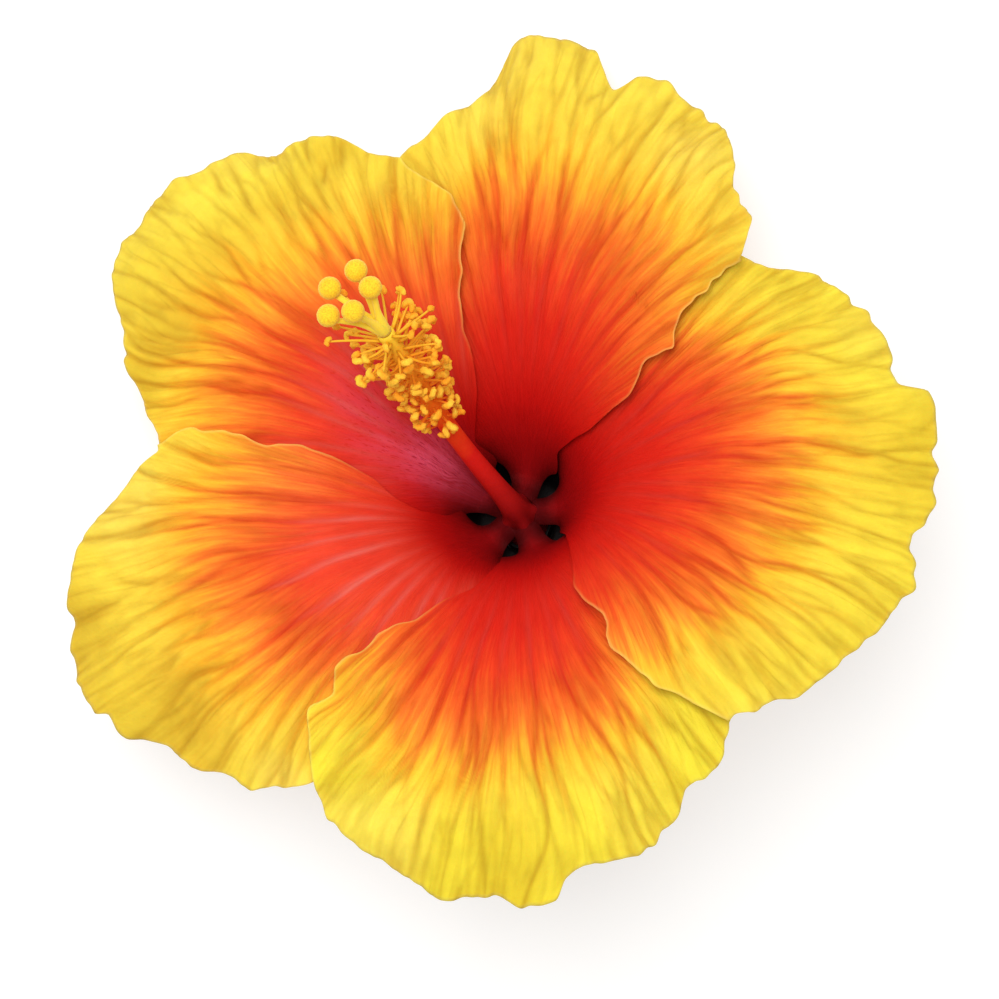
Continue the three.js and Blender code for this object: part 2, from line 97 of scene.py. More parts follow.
# Each petal is drawn about the direction of its own claw. `over` is the free edge, radius to
# azimuth, `rim` the outer margin, azimuth to radius, and a fold a radial ridge or valley: its
# azimuth, half width, height, and the radii between which it rises. `tone` says how far the
# red runs out, as azimuth, share in the heart and share in the limb; `lemon` how green the
# yellow is; `silver` how strong the pale threads near its claw are; `blush` how strong the
# violet patch by the column is.
PETALS = [
    {
        "over": [[11, -32], [14, -41], [18, -48], [25, -49.5], [30, -45], [35, -47], [37, -43],
                 [41, -40], [51, -39.5]],
        "rim": [[-39, 52.4], [-36, 55.8], [-33, 57.8], [-30, 58.6], [-28.5, 60.6], [-27, 63.4],
                [-25, 64.9], [-20, 67.3], [-14, 71.3], [-10.5, 73.1], [-7, 73.1], [-4.5, 69],
                [-2, 72.9], [0, 76], [3, 76.8], [10, 76.7], [13, 69.4], [16, 66.2], [19, 65],
                [24, 59.4], [28, 57.2], [43, 51]],
        "folds": [[8, 5, 3, 40, 76], [16, 5, -1.5, 36, 64], [-24, 9, 1.6, 36, 66]],
        "lift": 1.2,
        "tone": [[-38, 0.76, 0.89], [-20, 0.93, 0.96], [-4, 1.04, 0.99], [4, 1.02, 1.02],
                 [12, 1.0, 1.04], [20, 0.85, 0.9], [30, 0.75, 0.85]],
        "lemon": 0.2,
        "silver": 0.08,
        "blush": 0,
    },
    {
        "over": [[12, -42], [15, -49], [19, -56], [25, -63], [31, -61], [37, -63.5], [41, -61.5],
                 [46, -61], [50, -58], [57, -54.5]],
        "rim": [[-55, 55.6], [-52, 56.7], [-48, 58.5], [-45, 61.1], [-38, 63], [-31, 66.3],
                [-24, 68.9], [-21, 68.4], [-17, 68.1], [-13, 70.1], [-10, 70.6], [-8, 71.3],
                [-6, 70.6], [-4, 71], [-1, 70.3], [3, 69.5], [4.5, 65.8], [10, 67.3], [17, 64.6],
                [21, 62.6], [25, 60.5], [29, 56.8], [34, 52.7], [46, 50]],
        "folds": [[1, 4, 1.6, 44, 70], [8, 4, -1.2, 44, 68], [-30, 8, 1.4, 36, 66]],
        "lift": 1.6,
        "tone": [[-50, 0.84, 0.84], [-34, 0.93, 0.94], [-18, 0.99, 0.98], [-2, 1.05, 1.03],
                 [14, 1.0, 0.91], [30, 0.72, 0.82]],
        "lemon": 0.5,
        "silver": 0.12,
        "blush": 0,
    },
    {
        "over": [[14, -33], [19, -37], [23, -46], [29, -52], [34, -57.5], [41, -59.5], [45, -57],
                 [49, -59.5], [52, -57], [57, -53]],
        "rim": [[-54, 56.5], [-51, 59], [-47.5, 62.2], [-45, 62.5], [-43, 63.1], [-37, 66],
                [-31, 68.5], [-25, 68.7], [-20, 69.7], [-16, 69.4], [-14, 66.9], [-11, 65.8],
                [-6, 66.2], [-3, 67.4], [0, 65.6], [3, 63.8], [6, 61.4], [11, 60.8], [15, 58.5],
                [18, 56.2], [32, 53]],
        "folds": [[-17, 5, 1.4, 40, 70], [-38, 7, -1.2, 36, 66], [6, 5, 1.0, 40, 62]],
        "lift": 1.4,
        "tone": [[-50, 0.76, 0.87], [-34, 0.99, 0.98], [-18, 1.08, 0.95], [-2, 1.03, 0.97],
                 [6, 0.87, 0.91], [14, 0.69, 0.7]],
        "lemon": 0.8,
        "silver": 0.15,
        "blush": 0,
    },
    {
        "over": [[15, -28], [18, -34], [22, -44], [28, -49], [33, -50], [38, -49], [43, -51],
                 [49, -50.5], [54, -47]],
        "rim": [[-49, 54.5], [-46, 53.8], [-44, 59.3], [-38, 64.6], [-33, 68.7], [-30, 69.7],
                [-27, 71.6], [-24, 73.2], [-21, 76], [-15, 76.3], [-12.5, 75.4], [-11, 73],
                [-8, 74.4], [-5, 71.3], [-3, 69], [3, 66.8], [8, 64.8], [11, 63.5], [14, 61.3],
                [17, 59.2], [21, 56], [33, 53]],
        "folds": [[-6, 4, -2.2, 40, 72], [0, 4, 1.4, 38, 68], [-30, 7, 1.2, 36, 72]],
        "lift": 1.8,
        "tone": [[-45, 0.7, 0.88], [-37, 0.72, 0.97], [-21, 1.0, 1.05], [-13, 1.08, 1.05],
                 [3, 0.95, 1.01], [11, 0.9, 0.93]],
        "lemon": 0.2,
        "silver": 0.9,
        "blush": 0,
    },
    {
        "over": [[12, -29], [15, -40], [18, -46], [23, -48.5], [27, -47.5], [33, -51.5],
                 [41, -53], [47, -51], [52, -45], [56, -43.5]],
        "rim": [[-44, 53.7], [-41, 56], [-38.5, 58.4], [-35.5, 62.7], [-32, 65.2], [-26, 70.3],
                [-22, 75], [-17, 77.5], [-14, 79.8], [-10, 79.3], [-7, 78.5], [-4, 79.7],
                [-1, 78], [2, 75.3], [5, 72.1], [8, 69.2], [11.5, 66.1], [16, 61.4], [19, 59.3],
                [22, 56.7], [26, 55.5], [38, 51]],
        "folds": [[5, 4, -1.8, 44, 72], [-30, 7, 1.3, 36, 70], [-6, 7, 1.0, 50, 80]],
        "lift": 1.8,
        "tone": [[-40, 0.82, 0.87], [-20, 1.0, 0.97], [0, 1.08, 1.06], [8, 0.97, 1.03],
                 [16, 0.97, 1.02]],
        "lemon": 0.3,
        "silver": 0.45,
        "blush": 1,
    },
]
# where the violet patch lies on its petal: azimuth and half width, radius and half length
BLUSH = [4, 17, 14, 5]

# --- veins and crinkles
VEIN_COUNT = 13
# the radii by which each vein has forked once and twice, and how long a fork takes to open
VEIN_FORKS = [36, 54]
FORK_LENGTH = 16
# the colour follows a vein to this distance, and its furrow is narrower
VEIN_WIDTH = 0.75
FURROW_WIDTH = 0.5
# how far a vein carries the colour of the heart out
VEIN_PULL = 5
# short creases between the veins: the radii between which they start, how long they are, how far
# they lean off the flow, how far they bend, and the half widths of their valley and its bottom
CREASE_COUNT = 110
CREASE_START = (22, 70)
CREASE_LENGTH = (7, 26)
CREASE_LEAN = 0.13
CREASE_BEND = 0.8
CREASE_WIDTH = 1.15
CREASE_LINE = 0.5
# shares of the lumps, the creases, the veins and the furrows in the blade's relief
LUMP_SHARE, VALLEY_SHARE, VEIN_SHARE, FURROW_SHARE = 0.4, 0.62, 0.25, 0.55

# --- petal colour
PETAL_FIELDS = ("reach", "furrow", "relief", "lemon", "blush", "under", "silver", "hole_shade", "painted_sheen",
                "shade", "margin")
# noises stretched along the veins, as width and length in mm, detail and roughness: wide
# streaks, fine ones, pleats, puffs, flecks, and a crepe finer than the mesh carries
PETAL_NOISES = ((1.8, 18, 2, 0.55), (0.7, 8, 2, 0.6), (1.6, 13, 1, 0.4), (2.2, 3.5, 3, 0.6),
                (0.8, 1.3, 1, 0.5), (0.9, 4, 4, 0.6))
# the reach at which the petal has each colour, up to the ramp's end
RAMP_END = 80
PETAL_RAMP = {"throat": 3, "wine": 9, "crimson": 16, "scarlet": 25, "vermilion": 32,
              "coral": 37.5, "orange": 43, "apricot": 47, "gold": 51, "yellow": 57, "pale": 68}

# --- column and pistil
COLUMN_TOWARD = 132
COLUMN_PATH = [[0, 0, -8.2], [0, 0, -3], [-0.6, 0.3, 3], [-2, 1.6, 7.5], [-5.8, 5.4, 18],
               [-9, 9, 30], [-12, 13.1, 44], [-13.7, 15.4, 50], [-14.4, 16.3, 52.8]]
COLUMN_TOP = 0.955
# radii of the column over the share of its path: its wall's outside and inside
COLUMN_OUTSIDE = [[0, 4], [0.04, 4.1], [0.08, 3.8], [0.11, 3.1], [0.15, 2.4], [0.27, 1.8],
                  [0.5, 1.5], [0.955, 1.4]]
# how far the foot's five buttresses reach out towards the claws, and over which part of the column
BUTTRESS = 0.24
BUTTRESS_AT, BUTTRESS_WIDE = 0.085, 0.05
COLUMN_INSIDE = [[0, 3.2], [0.05, 3.1], [0.09, 1.9], [0.13, 0.95], [0.955, 0.85]]

STAMEN_FIRST, STAMEN_LAST = 0.55, 0.95
STAMEN_LENGTHS = (2.4, 9.0)
STAMEN_RISE = (5, 42)
STAMEN_ROOT = 1.25
STAMEN_SEED = 11
GOLDEN_ANGLE = 137.508
FILAMENT_RINGS, FILAMENT_SIDES = 7, 6
# an anther's horseshoe: half its arc in radians, its arc's radius and its thickness over its
# half width, and how lumpy it is
ANTHER_RINGS, ANTHER_SIDES = 13, 9
ANTHER_ARC, ANTHER_RADIUS, ANTHER_FAT, ANTHER_LUMPS = 1.9, 0.55, 0.46, 0.36

STYLE_START, STYLE_END = 0.04, 0.97
STYLE_RADIUS, STYLE_RINGS, STYLE_SIDES = 0.62, 60, 16
OVARY_PROFILE = [[0, 0.1], [2.1, 0.1], [2.6, 1.4], [2, 2.9], [0.9, 4], [0, 4.2]]
# each branch of the style: which way round it leaves, and how far it spreads from the column
BRANCHES = [[22, 39], [75, 36], [118, 19], [278, 15], [335, 36]]
BRANCH_LENGTH = 7.9

# --- calyx, epicalyx, stalk
CALYX_LOBES = 5
CALYX_PROFILE = [[4.8, -10.7], [8.6, -10.1], [10.7, -6], [11.4, -1], [12.9, 4], [15.1, 9],
                 [18.4, 14]]
CALYX_SINUS = 0.66
BRACT_COUNT = 7
BRACT_TURN = 20
BRACT_PROFILE = [[5, -13.4], [9, -11.6], [12.2, -7.5], [14, -3.4]]
BRACT_HALF_WIDTH = 0.9
EPICALYX_RING = [[2.1, -14.3], [5.2, -14.1], [6.2, -13.4], [5.2, -12.8], [2.1, -12.8]]
STALK_PROFILE = [[0, -23.85], [1.1, -24], [1.75, -23.9], [1.72, -23], [1.6, -20], [1.7, -14.2],
                 [2.0, -12.6], [5.4, -12.4], [5.6, -11.6], [4.5, -11.3], [4.4, -8.6], [0, -8.6]]

# --- camera and light
CAMERA_PLACE = (70.26, -125.15, 452.53)
CAMERA_LEAN = 18
CAMERA_TOWARD = 120
CAMERA_LENS = 100.54
CAMERA_SENSOR = 36
# the floor's half width, and the key light's way, distance and diameter, in metres
FLOOR_REACH = 2.5
KEY_WAY = (-0.1, 0.18, 1)
KEY_DISTANCE, KEY_SIZE = 0.7, 0.35


# --- small mathematics
def linear(hex_colour):
    """Linear red, green and blue of an sRGB hex colour."""
    s = np.array([int(hex_colour[i:i + 2], 16) for i in (1, 3, 5)]) / 255
    return tuple(float(x) for x in np.where(s <= 0.04045, s / 12.92, ((s + 0.055) / 1.055) ** 2.4))


def smooth(low, high, x):
    """A cubic step, from 0 at low to 1 at high."""
    t = np.clip((x - low) / (high - low), 0, 1)
    return t * t * (3 - 2 * t)


def mix(a, b, share):
    """From a at share 0 to b at share 1."""
    return a + (b - a) * share


def turns(sides, whole=2 * np.pi):
    """The angles of so many sides, all the way round."""
    return np.linspace(0, whole, sides, endpoint=False)


def about_axis(radius, angle, height):
    """Points at radii, angles in radians and heights about +Z."""
    return np.stack(np.broadcast_arrays(radius * np.cos(angle), radius * np.sin(angle), height), -1)


def travelled(points, power=1):
    """The sum of the chords up to each point, each to a power."""
    chords = np.linalg.norm(np.diff(points, axis=0), axis=1)
    return np.concatenate([[0], np.cumsum(chords**power)])


def bump(x, wide):
    """A bell, 1 at x = 0, falling to 1/e at x = wide."""
    return np.exp(-((x / wide) ** 2))


def line(points):
    """The smooth line through the points that never swings past them, level past both ends.

    Each stretch is a cubic, and its slope at a point is the harmonic mean of the slopes beside it.
    """
    xs, ys = np.array(points, float).T
    steps = np.diff(ys) / np.diff(xs)
    before, after = steps[:-1], steps[1:]
    turning = before * after <= 0
    inner = np.where(turning, 0, 2 * before * after / np.where(turning, 1, before + after))
    slope = np.concatenate([steps[:1], inner, steps[-1:]])

    def read(x):
        x = np.clip(x, xs[0], xs[-1])
        i = np.clip(np.searchsorted(xs, x, side="right") - 1, 0, len(xs) - 2)
        step = xs[i + 1] - xs[i]
        s = (x - xs[i]) / step
        ends = (2 * s**3 - 3 * s**2 + 1) * ys[i] + (3 * s**2 - 2 * s**3) * ys[i + 1]
        return ends + (s**3 - 2 * s**2 + s) * step * slope[i] + (s**3 - s**2) * step * slope[i + 1]

    return read


def noise(x, y, seed):
    """Smooth noise from -1 to 1: drawn values at whole numbers, blended by cubic steps between."""
    draws = np.random.default_rng(seed).uniform(-1, 1, (64, 64))
    i, j = np.floor(x).astype(int), np.floor(y).astype(int)
    u, v = smooth(0, 1, x - i), smooth(0, 1, y - j)
    low = mix(draws[i % 64, j % 64], draws[(i + 1) % 64, j % 64], u)
    high = mix(draws[i % 64, (j + 1) % 64], draws[(i + 1) % 64, (j + 1) % 64], u)
    return mix(low, high, v)


def path(points):
    """A centripetal Catmull-Rom curve through the points, read at fractions of its length.

    Between two points it is the blend, by knot distances that are square roots of the chords,
    of the straight lines through the four points around them.
    """
    p = np.array(points, float)
    p = np.vstack([2 * p[0] - p[1], p, 2 * p[-1] - p[-2]])
    knots = travelled(p, 0.5)
    dense = [p[1][None]]
    for k in range(1, len(p) - 2):
        t = np.linspace(knots[k], knots[k + 1], 61)[1:, None]

        def blend(a, b, first, last):
            return ((knots[last] - t) * a + (t - knots[first]) * b) / (knots[last] - knots[first])

        lines = [blend(p[k + n], p[k + n + 1], k + n, k + n + 1) for n in (-1, 0, 1)]
        curves = [blend(lines[n + 1], lines[n + 2], k + n, k + n + 2) for n in (-1, 0)]
        dense.append(blend(curves[0], curves[1], k, k + 1))
    dense = np.vstack(dense)
    lengths = travelled(dense)

    def read(fraction):
        at = np.clip(fraction, 0, 1) * lengths[-1]
        return np.stack([np.interp(at, lengths, dense[:, n]) for n in range(dense.shape[1])], -1)

    return read


def unit(vectors):
    """The vectors at length 1."""
    return vectors / np.linalg.norm(vectors, axis=-1, keepdims=True)


def leaning(toward, lean):
    """The turn that leans +Z towards an azimuth, both in degrees."""
    a = np.radians(toward)
    axis = (-np.sin(a), np.cos(a), 0)
    return np.array(Matrix.Rotation(np.radians(lean), 3, axis))


def resting(points):
    """Millimetres about the flower's axis, turned and moved to where it lies, in metres."""
    return (np.asarray(points, float) @ leaning(REST_TOWARD, REST_LEAN).T + REST_SHIFT) * MM


# --- meshes
def cells(rows, columns, ring=False):
    """The quads of a grid whose vertices run row by row; a ring also joins its last column."""
    i, j = np.meshgrid(np.arange(columns if ring else columns - 1), np.arange(rows - 1))
    k = (i + 1) % columns
    low, high = j * columns, (j + 1) * columns
    return np.stack([low + i, low + k, high + k, high + i], -1).reshape(-1, 4)


def shell(middle, thickness, ring=False):
    """A closed blade about its middle surface, a grid of points: one face half a thickness to
    each side along the surface's normal, and a wall along its margin. It gives the points, the
    faces, and for each point the number of its grid point and whether it is on the underside."""
    rows, columns = middle.shape[:2]
    if ring:
        wrapped = np.concatenate([middle[:, -1:], middle, middle[:, :1]], 1)
        across = np.gradient(wrapped, axis=1)[:, 1:-1]
    else:
        across = np.gradient(middle, axis=1)
    half = unit(np.cross(across, np.gradient(middle, axis=0))) * thickness[..., None] / 2
    points = np.concatenate([(middle + half).reshape(-1, 3), (middle - half).reshape(-1, 3)])
    count = rows * columns
    top = cells(rows, columns, ring)
    bottom = top[:, ::-1] + count
    number = np.arange(count).reshape(rows, columns)
    if ring:
        number = np.concatenate([number, number[:, :1]], 1)
        edges = [number[0], number[-1, ::-1]]
    else:
        edges = [number[0], number[:, -1], number[-1, ::-1], number[::-1, 0]]
    walls = [np.stack([e[1:], e[:-1], e[:-1] + count, e[1:] + count], -1) for e in edges]
    source = np.tile(np.arange(count), 2)
    return points, [np.vstack([top, bottom, *walls])], source, np.repeat([0.0, 1.0], count)


def skin(rings, first, last):
    """A closed skin over rings of points, (batch, rings, sides, 3), with a pole at each end.
    The rings turn anticlockwise as seen from the last pole, so that the faces point outwards."""
    batch, count, sides = rings.shape[:3]
    points = np.concatenate([first[:, None], rings.reshape(batch, -1, 3), last[:, None]], 1)
    size = points.shape[1]
    start = (np.arange(batch) * size)[:, None, None]
    quads = cells(count, sides, True)[None] + 1 + start
    i = np.arange(sides)
    k = (i + 1) % sides
    top = 1 + (count - 1) * sides
    fans = np.concatenate([np.stack([0 * i, 1 + k, 1 + i], -1),
                           np.stack([0 * i + size - 1, top + i, top + k], -1)])[None] + start
    return points.reshape(-1, 3), [quads.reshape(-1, 4), fans.reshape(-1, 3)]


def turned(profile, sides, ridges=0, ridge_height=0):
    """A skin over a profile of radius and height turned about +Z; ridges ripple its radius."""
    p = np.array(profile, float)
    angle = turns(sides)
    radius = p[1:-1, :1] * (1 + ridge_height * np.cos(ridges * angle))
    rings = about_axis(radius, angle, p[1:-1, 1:])
    return skin(rings[None], np.array([[0, 0, p[0, 1]]]), np.array([[0, 0, p[-1, 1]]]))


def joined(parts):
    """One list of points and faces out of several."""
    points, faces, start = [], [], 0
    for part_points, part_faces in parts:
        points.append(part_points)
        faces += [f + start for f in part_faces]
        start += len(part_points)
    return np.concatenate(points), faces


def add_piece(name, points, faces, material, nodes, attributes=None):
    """A mesh object at the origin that rides on the flower and stands for CAD nodes."""
    mesh = bpy.data.meshes.new(name)
    corners = np.concatenate([f.ravel() for f in faces])
    sizes = np.concatenate([np.full(len(f), f.shape[1]) for f in faces])
    mesh.vertices.add(len(points))
    mesh.vertices.foreach_set("co", resting(points).astype(np.float32).ravel())
    mesh.loops.add(len(corners))
    mesh.loops.foreach_set("vertex_index", corners.astype(np.int32))
    mesh.polygons.add(len(sizes))
    mesh.polygons.foreach_set("loop_start", (np.cumsum(sizes) - sizes).astype(np.int32))
    mesh.polygons.foreach_set("use_smooth", np.ones(len(sizes), bool))
    mesh.update(calc_edges=True)
    mesh.validate()
    for key, values in (attributes or {}).items():
        values = np.asarray(values, np.float32)
        kind, field = ("FLOAT", "value") if values.ndim == 1 else ("FLOAT_VECTOR", "vector")
        mesh.attributes.new(key, kind, "POINT").data.foreach_set(field, values.ravel())
    mesh.materials.append(material)
    piece = bpy.data.objects.new(name, mesh)
    bpy.context.scene.collection.objects.link(piece)
    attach(piece, "root")
    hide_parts(*nodes)
    return piece


# --- materials
def add_node(tree, kind, inputs=(), stops=(), **settings):
    """Adds a node. Settings are its properties. Inputs, by key or in order, are constants, sockets
    to link, or nodes, of which the first output in use is linked; a colour needs no alpha. Stops
    are a colour ramp's places and linear colours."""
    node = tree.nodes.new("ShaderNode" + kind)
    for key, value in settings.items():
        setattr(node, key, value)
    for key, value in inputs.items() if isinstance(inputs, dict) else enumerate(inputs):
        if isinstance(value, bpy.types.Node):
            value = next(output for output in value.outputs if output.enabled)
        if isinstance(value, bpy.types.NodeSocket):
            tree.links.new(value, node.inputs[key])
        elif node.inputs[key].type == "RGBA":
            node.inputs[key].default_value = (*value, 1)
        else:
            node.inputs[key].default_value = value
    if stops:
        elements = node.color_ramp.elements
        while len(elements) < len(stops):
            elements.new(1)
        for element, (place, colour) in zip(elements, stops):
            element.position = place
            element.color = (*colour, 1)
    return node


def new_material(name):
    """A material without nodes, and add_node for its tree."""
    material = bpy.data.materials.new(name)
    material.use_nodes = True
    material.node_tree.nodes.clear()
    return material, partial(add_node, material.node_tree)


def finish(add, colour, height, strength, distance, finish_inputs, invert=False):
    """Ends a material: a principled surface of this colour with a bump, whose depth is in mm."""
    bumps = add("Bump", {"Height": height, "Strength": strength, "Distance": distance * MM},
                invert=invert)
    surface = add("BsdfPrincipled", {"Base Color": colour, "Normal": bumps, **finish_inputs})
    add("OutputMaterial", {"Surface": surface})


def under_skin(weight, millimetres, *radii):
    """The light that wanders under a tissue's skin: how much, and how far for red, green, blue."""
    return {"Subsurface Weight": weight, "Subsurface Scale": millimetres * MM,
            "Subsurface Radius": radii}


def petal_material(looks):
    """Fresh hibiscus petal: thin moist tissue, satin, with colour that runs out along its veins.

    The heart's crimson turns scarlet, orange and yellow over the distance from the throat that
    the attribute `reach` holds, feathered by streaks that follow the veins. Over it lie, by the
    attributes, a greener yellow, olive and cream rims, a painted sheen of milky coral on the inner
    limb, the veins' darker tone with painted shade in the furrows, hollows and pleats, the violet
    patch, pale threads, painted shade on the claws beside the holes, the margin and the paler
    underside. A bump of pleats, puffs and crepe breaks up the light.
    """
    material, add = new_material("fresh hibiscus petal, satin")
    reach, furrow, relief, lemon, blush, under, silver, hole_shade, painted_sheen, shade, margin = [
        add("Attribute", attribute_name=key).outputs["Fac"] for key in PETAL_FIELDS]
    flow = add("Attribute", attribute_name="flow").outputs["Vector"]
    wide, fine, pleat, puffs, flecks, crepe = [
        add("TexNoise", {
            "Vector": add("Mapping", {"Vector": flow, "Scale": (1 / across, 1 / along, 1)}),
            "Scale": 1, "Detail": detail, "Roughness": roughness})
        for across, along, detail, roughness in PETAL_NOISES]

    # streaks shift the place on the colour ramp
    open_out = add("MapRange", {"Value": reach, "From Min": 12, "From Max": 40},
                   interpolation_type="SMOOTHSTEP")
    swings = []
    for streaks, far in ((wide, looks.streak_reach), (fine, looks.thread_reach)):
        centred = add("Math", [streaks, 0.5], operation="SUBTRACT")
        swings.append(add("Math", [centred, far / MM], operation="MULTIPLY"))
    shift = add("Math", swings, operation="ADD")
    place = add("Math", [shift, open_out, reach], operation="MULTIPLY_ADD")
    place = add("Math", [place, RAMP_END], operation="DIVIDE")
    colour = add("ValToRGB", {"Fac": place},
                 stops=[(at / RAMP_END, getattr(looks, key)) for key, at in PETAL_RAMP.items()])

    # the yellow is greener on some petals, some of the rim is olive and some of it cream
    greener = add("MapRange", {"Value": place, "From Min": 0.56, "From Max": 0.8, "To Max": 0.85},
                  interpolation_type="SMOOTHSTEP")
    greener = add("Math", [greener, lemon], operation="MULTIPLY")
    olive = add("MapRange", {"Value": shade, "From Min": 0.0, "From Max": 0.8, "To Max": 0.45})
    cream = add("MapRange", {"Value": shade, "From Min": -0.2, "From Max": -0.7, "To Max": 0.4})
    # a painted sheen of milky coral lies over the inner limb
    painted_sheen_share = add("Math", [painted_sheen, 0.55], operation="MULTIPLY")
    # the veins' darker tone and painted shade in furrows and hollows, less where the petal is red
    hollow = add("MapRange", {"Value": relief, "From Min": 0.15, "From Max": -0.6, "To Max": 0.3})
    deeper = add("Math", [furrow, 0.27, hollow], operation="MULTIPLY_ADD", use_clamp=True)
    outer = add("MapRange", {"Value": reach, "From Min": 22, "From Max": 48, "To Min": 0.5},
                interpolation_type="SMOOTHSTEP")
    deeper = add("Math", [deeper, outer], operation="MULTIPLY")
    # a pleat is where its noise passes the middle value
    pleat = add("Math", [pleat, 0.5], operation="SUBTRACT")
    pleat = add("Math", [pleat], operation="ABSOLUTE")
    pleat = add("MapRange", {"Value": pleat, "From Max": 0.1, "To Min": 1, "To Max": 0},
                interpolation_type="SMOOTHSTEP")
    pleat = add("Math", [pleat, outer], operation="MULTIPLY")
    # painted shade along the pleats, in the furrows' tone
    tint = add("Math", [pleat, 0.13], operation="MULTIPLY")
    for share, swatch_colour, blend in (
            (greener, looks.lemon, "MIX"), (olive, looks.olive, "MULTIPLY"),
            (cream, looks.cream, "MIX"), (painted_sheen_share, looks.painted_sheen, "MIX"),
            (deeper, looks.furrow, "MULTIPLY"), (tint, looks.furrow, "MULTIPLY")):
        colour = add("Mix", {0: share, 6: colour, 7: swatch_colour}, data_type="RGBA",
                     blend_type=blend)
    mottle = add("MapRange", {"Value": puffs, "From Min": 0.3, "From Max": 0.7, "To Min": 0.93,
                              "To Max": 1.05})
    colour = add("VectorMath", {0: colour, "Scale": mottle}, operation="SCALE")

    # dark flecks in the violet patch
    flecks = add("MapRange", {"Value": flecks, "From Min": 0.58, "From Max": 0.68, "To Max": 0.75},
                 interpolation_type="SMOOTHSTEP")
    patch = add("Mix", {0: flecks, 6: looks.violet, 7: looks.fleck}, data_type="RGBA")
    # near the claw the veins stand out pale
    inner = add("MapRange", {"Value": reach, "From Min": 38, "From Max": 22, "To Max": 0.5},
                interpolation_type="SMOOTHSTEP")
    inner = add("Math", [inner, silver], operation="MULTIPLY")
    inner = add("Math", [inner, furrow], operation="MULTIPLY")
    # painted shade darkens the claws towards the holes, and the underside is paler
    dark = add("Math", [hole_shade, 0.94], operation="MULTIPLY")
    beneath = add("Math", [under, 0.45], operation="MULTIPLY")
    for share, over in ((blush, patch), (inner, looks.silver), (dark, looks.hole_shade),
                        (margin, looks.margin), (beneath, looks.underside)):
        colour = add("Mix", {0: share, 6: colour, 7: over}, data_type="RGBA")

    # puffs and crepe raise the face, and the pleats sink into it
    raised = add("Math", [outer, 1.6], operation="MULTIPLY")
    raised = add("Math", [puffs, raised, crepe], operation="MULTIPLY_ADD")
    height = add("Math", [pleat, -0.3, raised], operation="MULTIPLY_ADD")
    finish(add, colour, height, 0.6, 0.3, {"Roughness": 0.55, "IOR": 1.4, "Specular IOR Level": 0.07,
                                           **under_skin(0.12, 0.6, 1.0, 0.45, 0.12)})
    return material


def column_material(looks):
    """Staminal column: smooth turgid tissue, red in the throat and golden by the anthers."""
    material, add = new_material("staminal column, smooth and turgid")
    along = add("Attribute", attribute_name="along").outputs["Fac"]
    place = add("TexCoord").outputs["Object"]
    # a faint grain 1.5 mm across
    grain = add("TexNoise", {"Vector": place, "Scale": 1 / (1.5 * MM), "Detail": 3})
    shift = add("Math", [grain, 0.08, along], operation="MULTIPLY_ADD")
    shift = add("Math", [shift, 0.04], operation="SUBTRACT")
    colour = add("ValToRGB", {"Fac": shift}, stops=[
        (0.1, looks.foot), (0.42, looks.shaft), (0.56, looks.flame), (0.68, looks.amber),
        (0.84, looks.honey), (0.95, looks.tip)])
    finish(add, colour, grain, 0.3, 0.15, {"Roughness": 0.45, "Specular IOR Level": 0.12,
                                           **under_skin(0.15, 0.8, 1.0, 0.4, 0.1)})
    return material


def anther_material(looks):
    """Anthers: burst and covered in pollen, so matt, grainy and golden."""
    material, add = new_material("anther, dusted with pollen")
    place = add("TexCoord").outputs["Object"]
    # grains of pollen, drawn 0.22 mm apart so that they show
    grains = add("TexVoronoi", {"Vector": place, "Scale": 1 / (0.22 * MM)})
    tone = add("TexNoise", {"Vector": place, "Scale": 1 / (2.5 * MM), "Detail": 2})
    tone = add("MapRange", {"Value": tone, "From Min": 0.35, "From Max": 0.65})
    colour = add("Mix", {0: tone, 6: looks.anther_colour, 7: looks.pollen}, data_type="RGBA")
    dust = add("MapRange", {"Value": grains, "From Max": 0.6, "To Min": 1.1, "To Max": 0.88})
    colour = add("VectorMath", {0: colour, "Scale": dust}, operation="SCALE")
    finish(add, colour, grains, 0.7, 0.12, {"Roughness": 0.8, "Specular IOR Level": 0.15,
                                            **under_skin(0.1, 0.5, 1.0, 0.5, 0.1)}, invert=True)
    return material


def stigma_material(looks):
    """Stigmas and their branches: green-yellow stems, and pads with a velvet of fine papillae."""
    material, add = new_material("stigma, velvety")
    ball = add("Attribute", attribute_name="ball").outputs["Fac"]
    place = add("TexCoord").outputs["Object"]
    # papillae 0.25 mm apart
    hairs = add("TexVoronoi", {"Vector": place, "Scale": 1 / (0.25 * MM)})
    pad = add("Mix", {0: hairs, 6: looks.stigma_colour, 7: looks.stigma_shade}, data_type="RGBA")
    colour = add("Mix", {0: ball, 6: looks.style, 7: pad}, data_type="RGBA")
    finish(add, colour, hairs, 0.5, 0.1, {
        "Roughness": 0.7, "Specular IOR Level": 0.15, "Sheen Weight": 0.15, "Sheen Roughness": 0.5,
        **under_skin(0.2, 0.8, 1.0, 0.7, 0.1)}, invert=True)
    return material


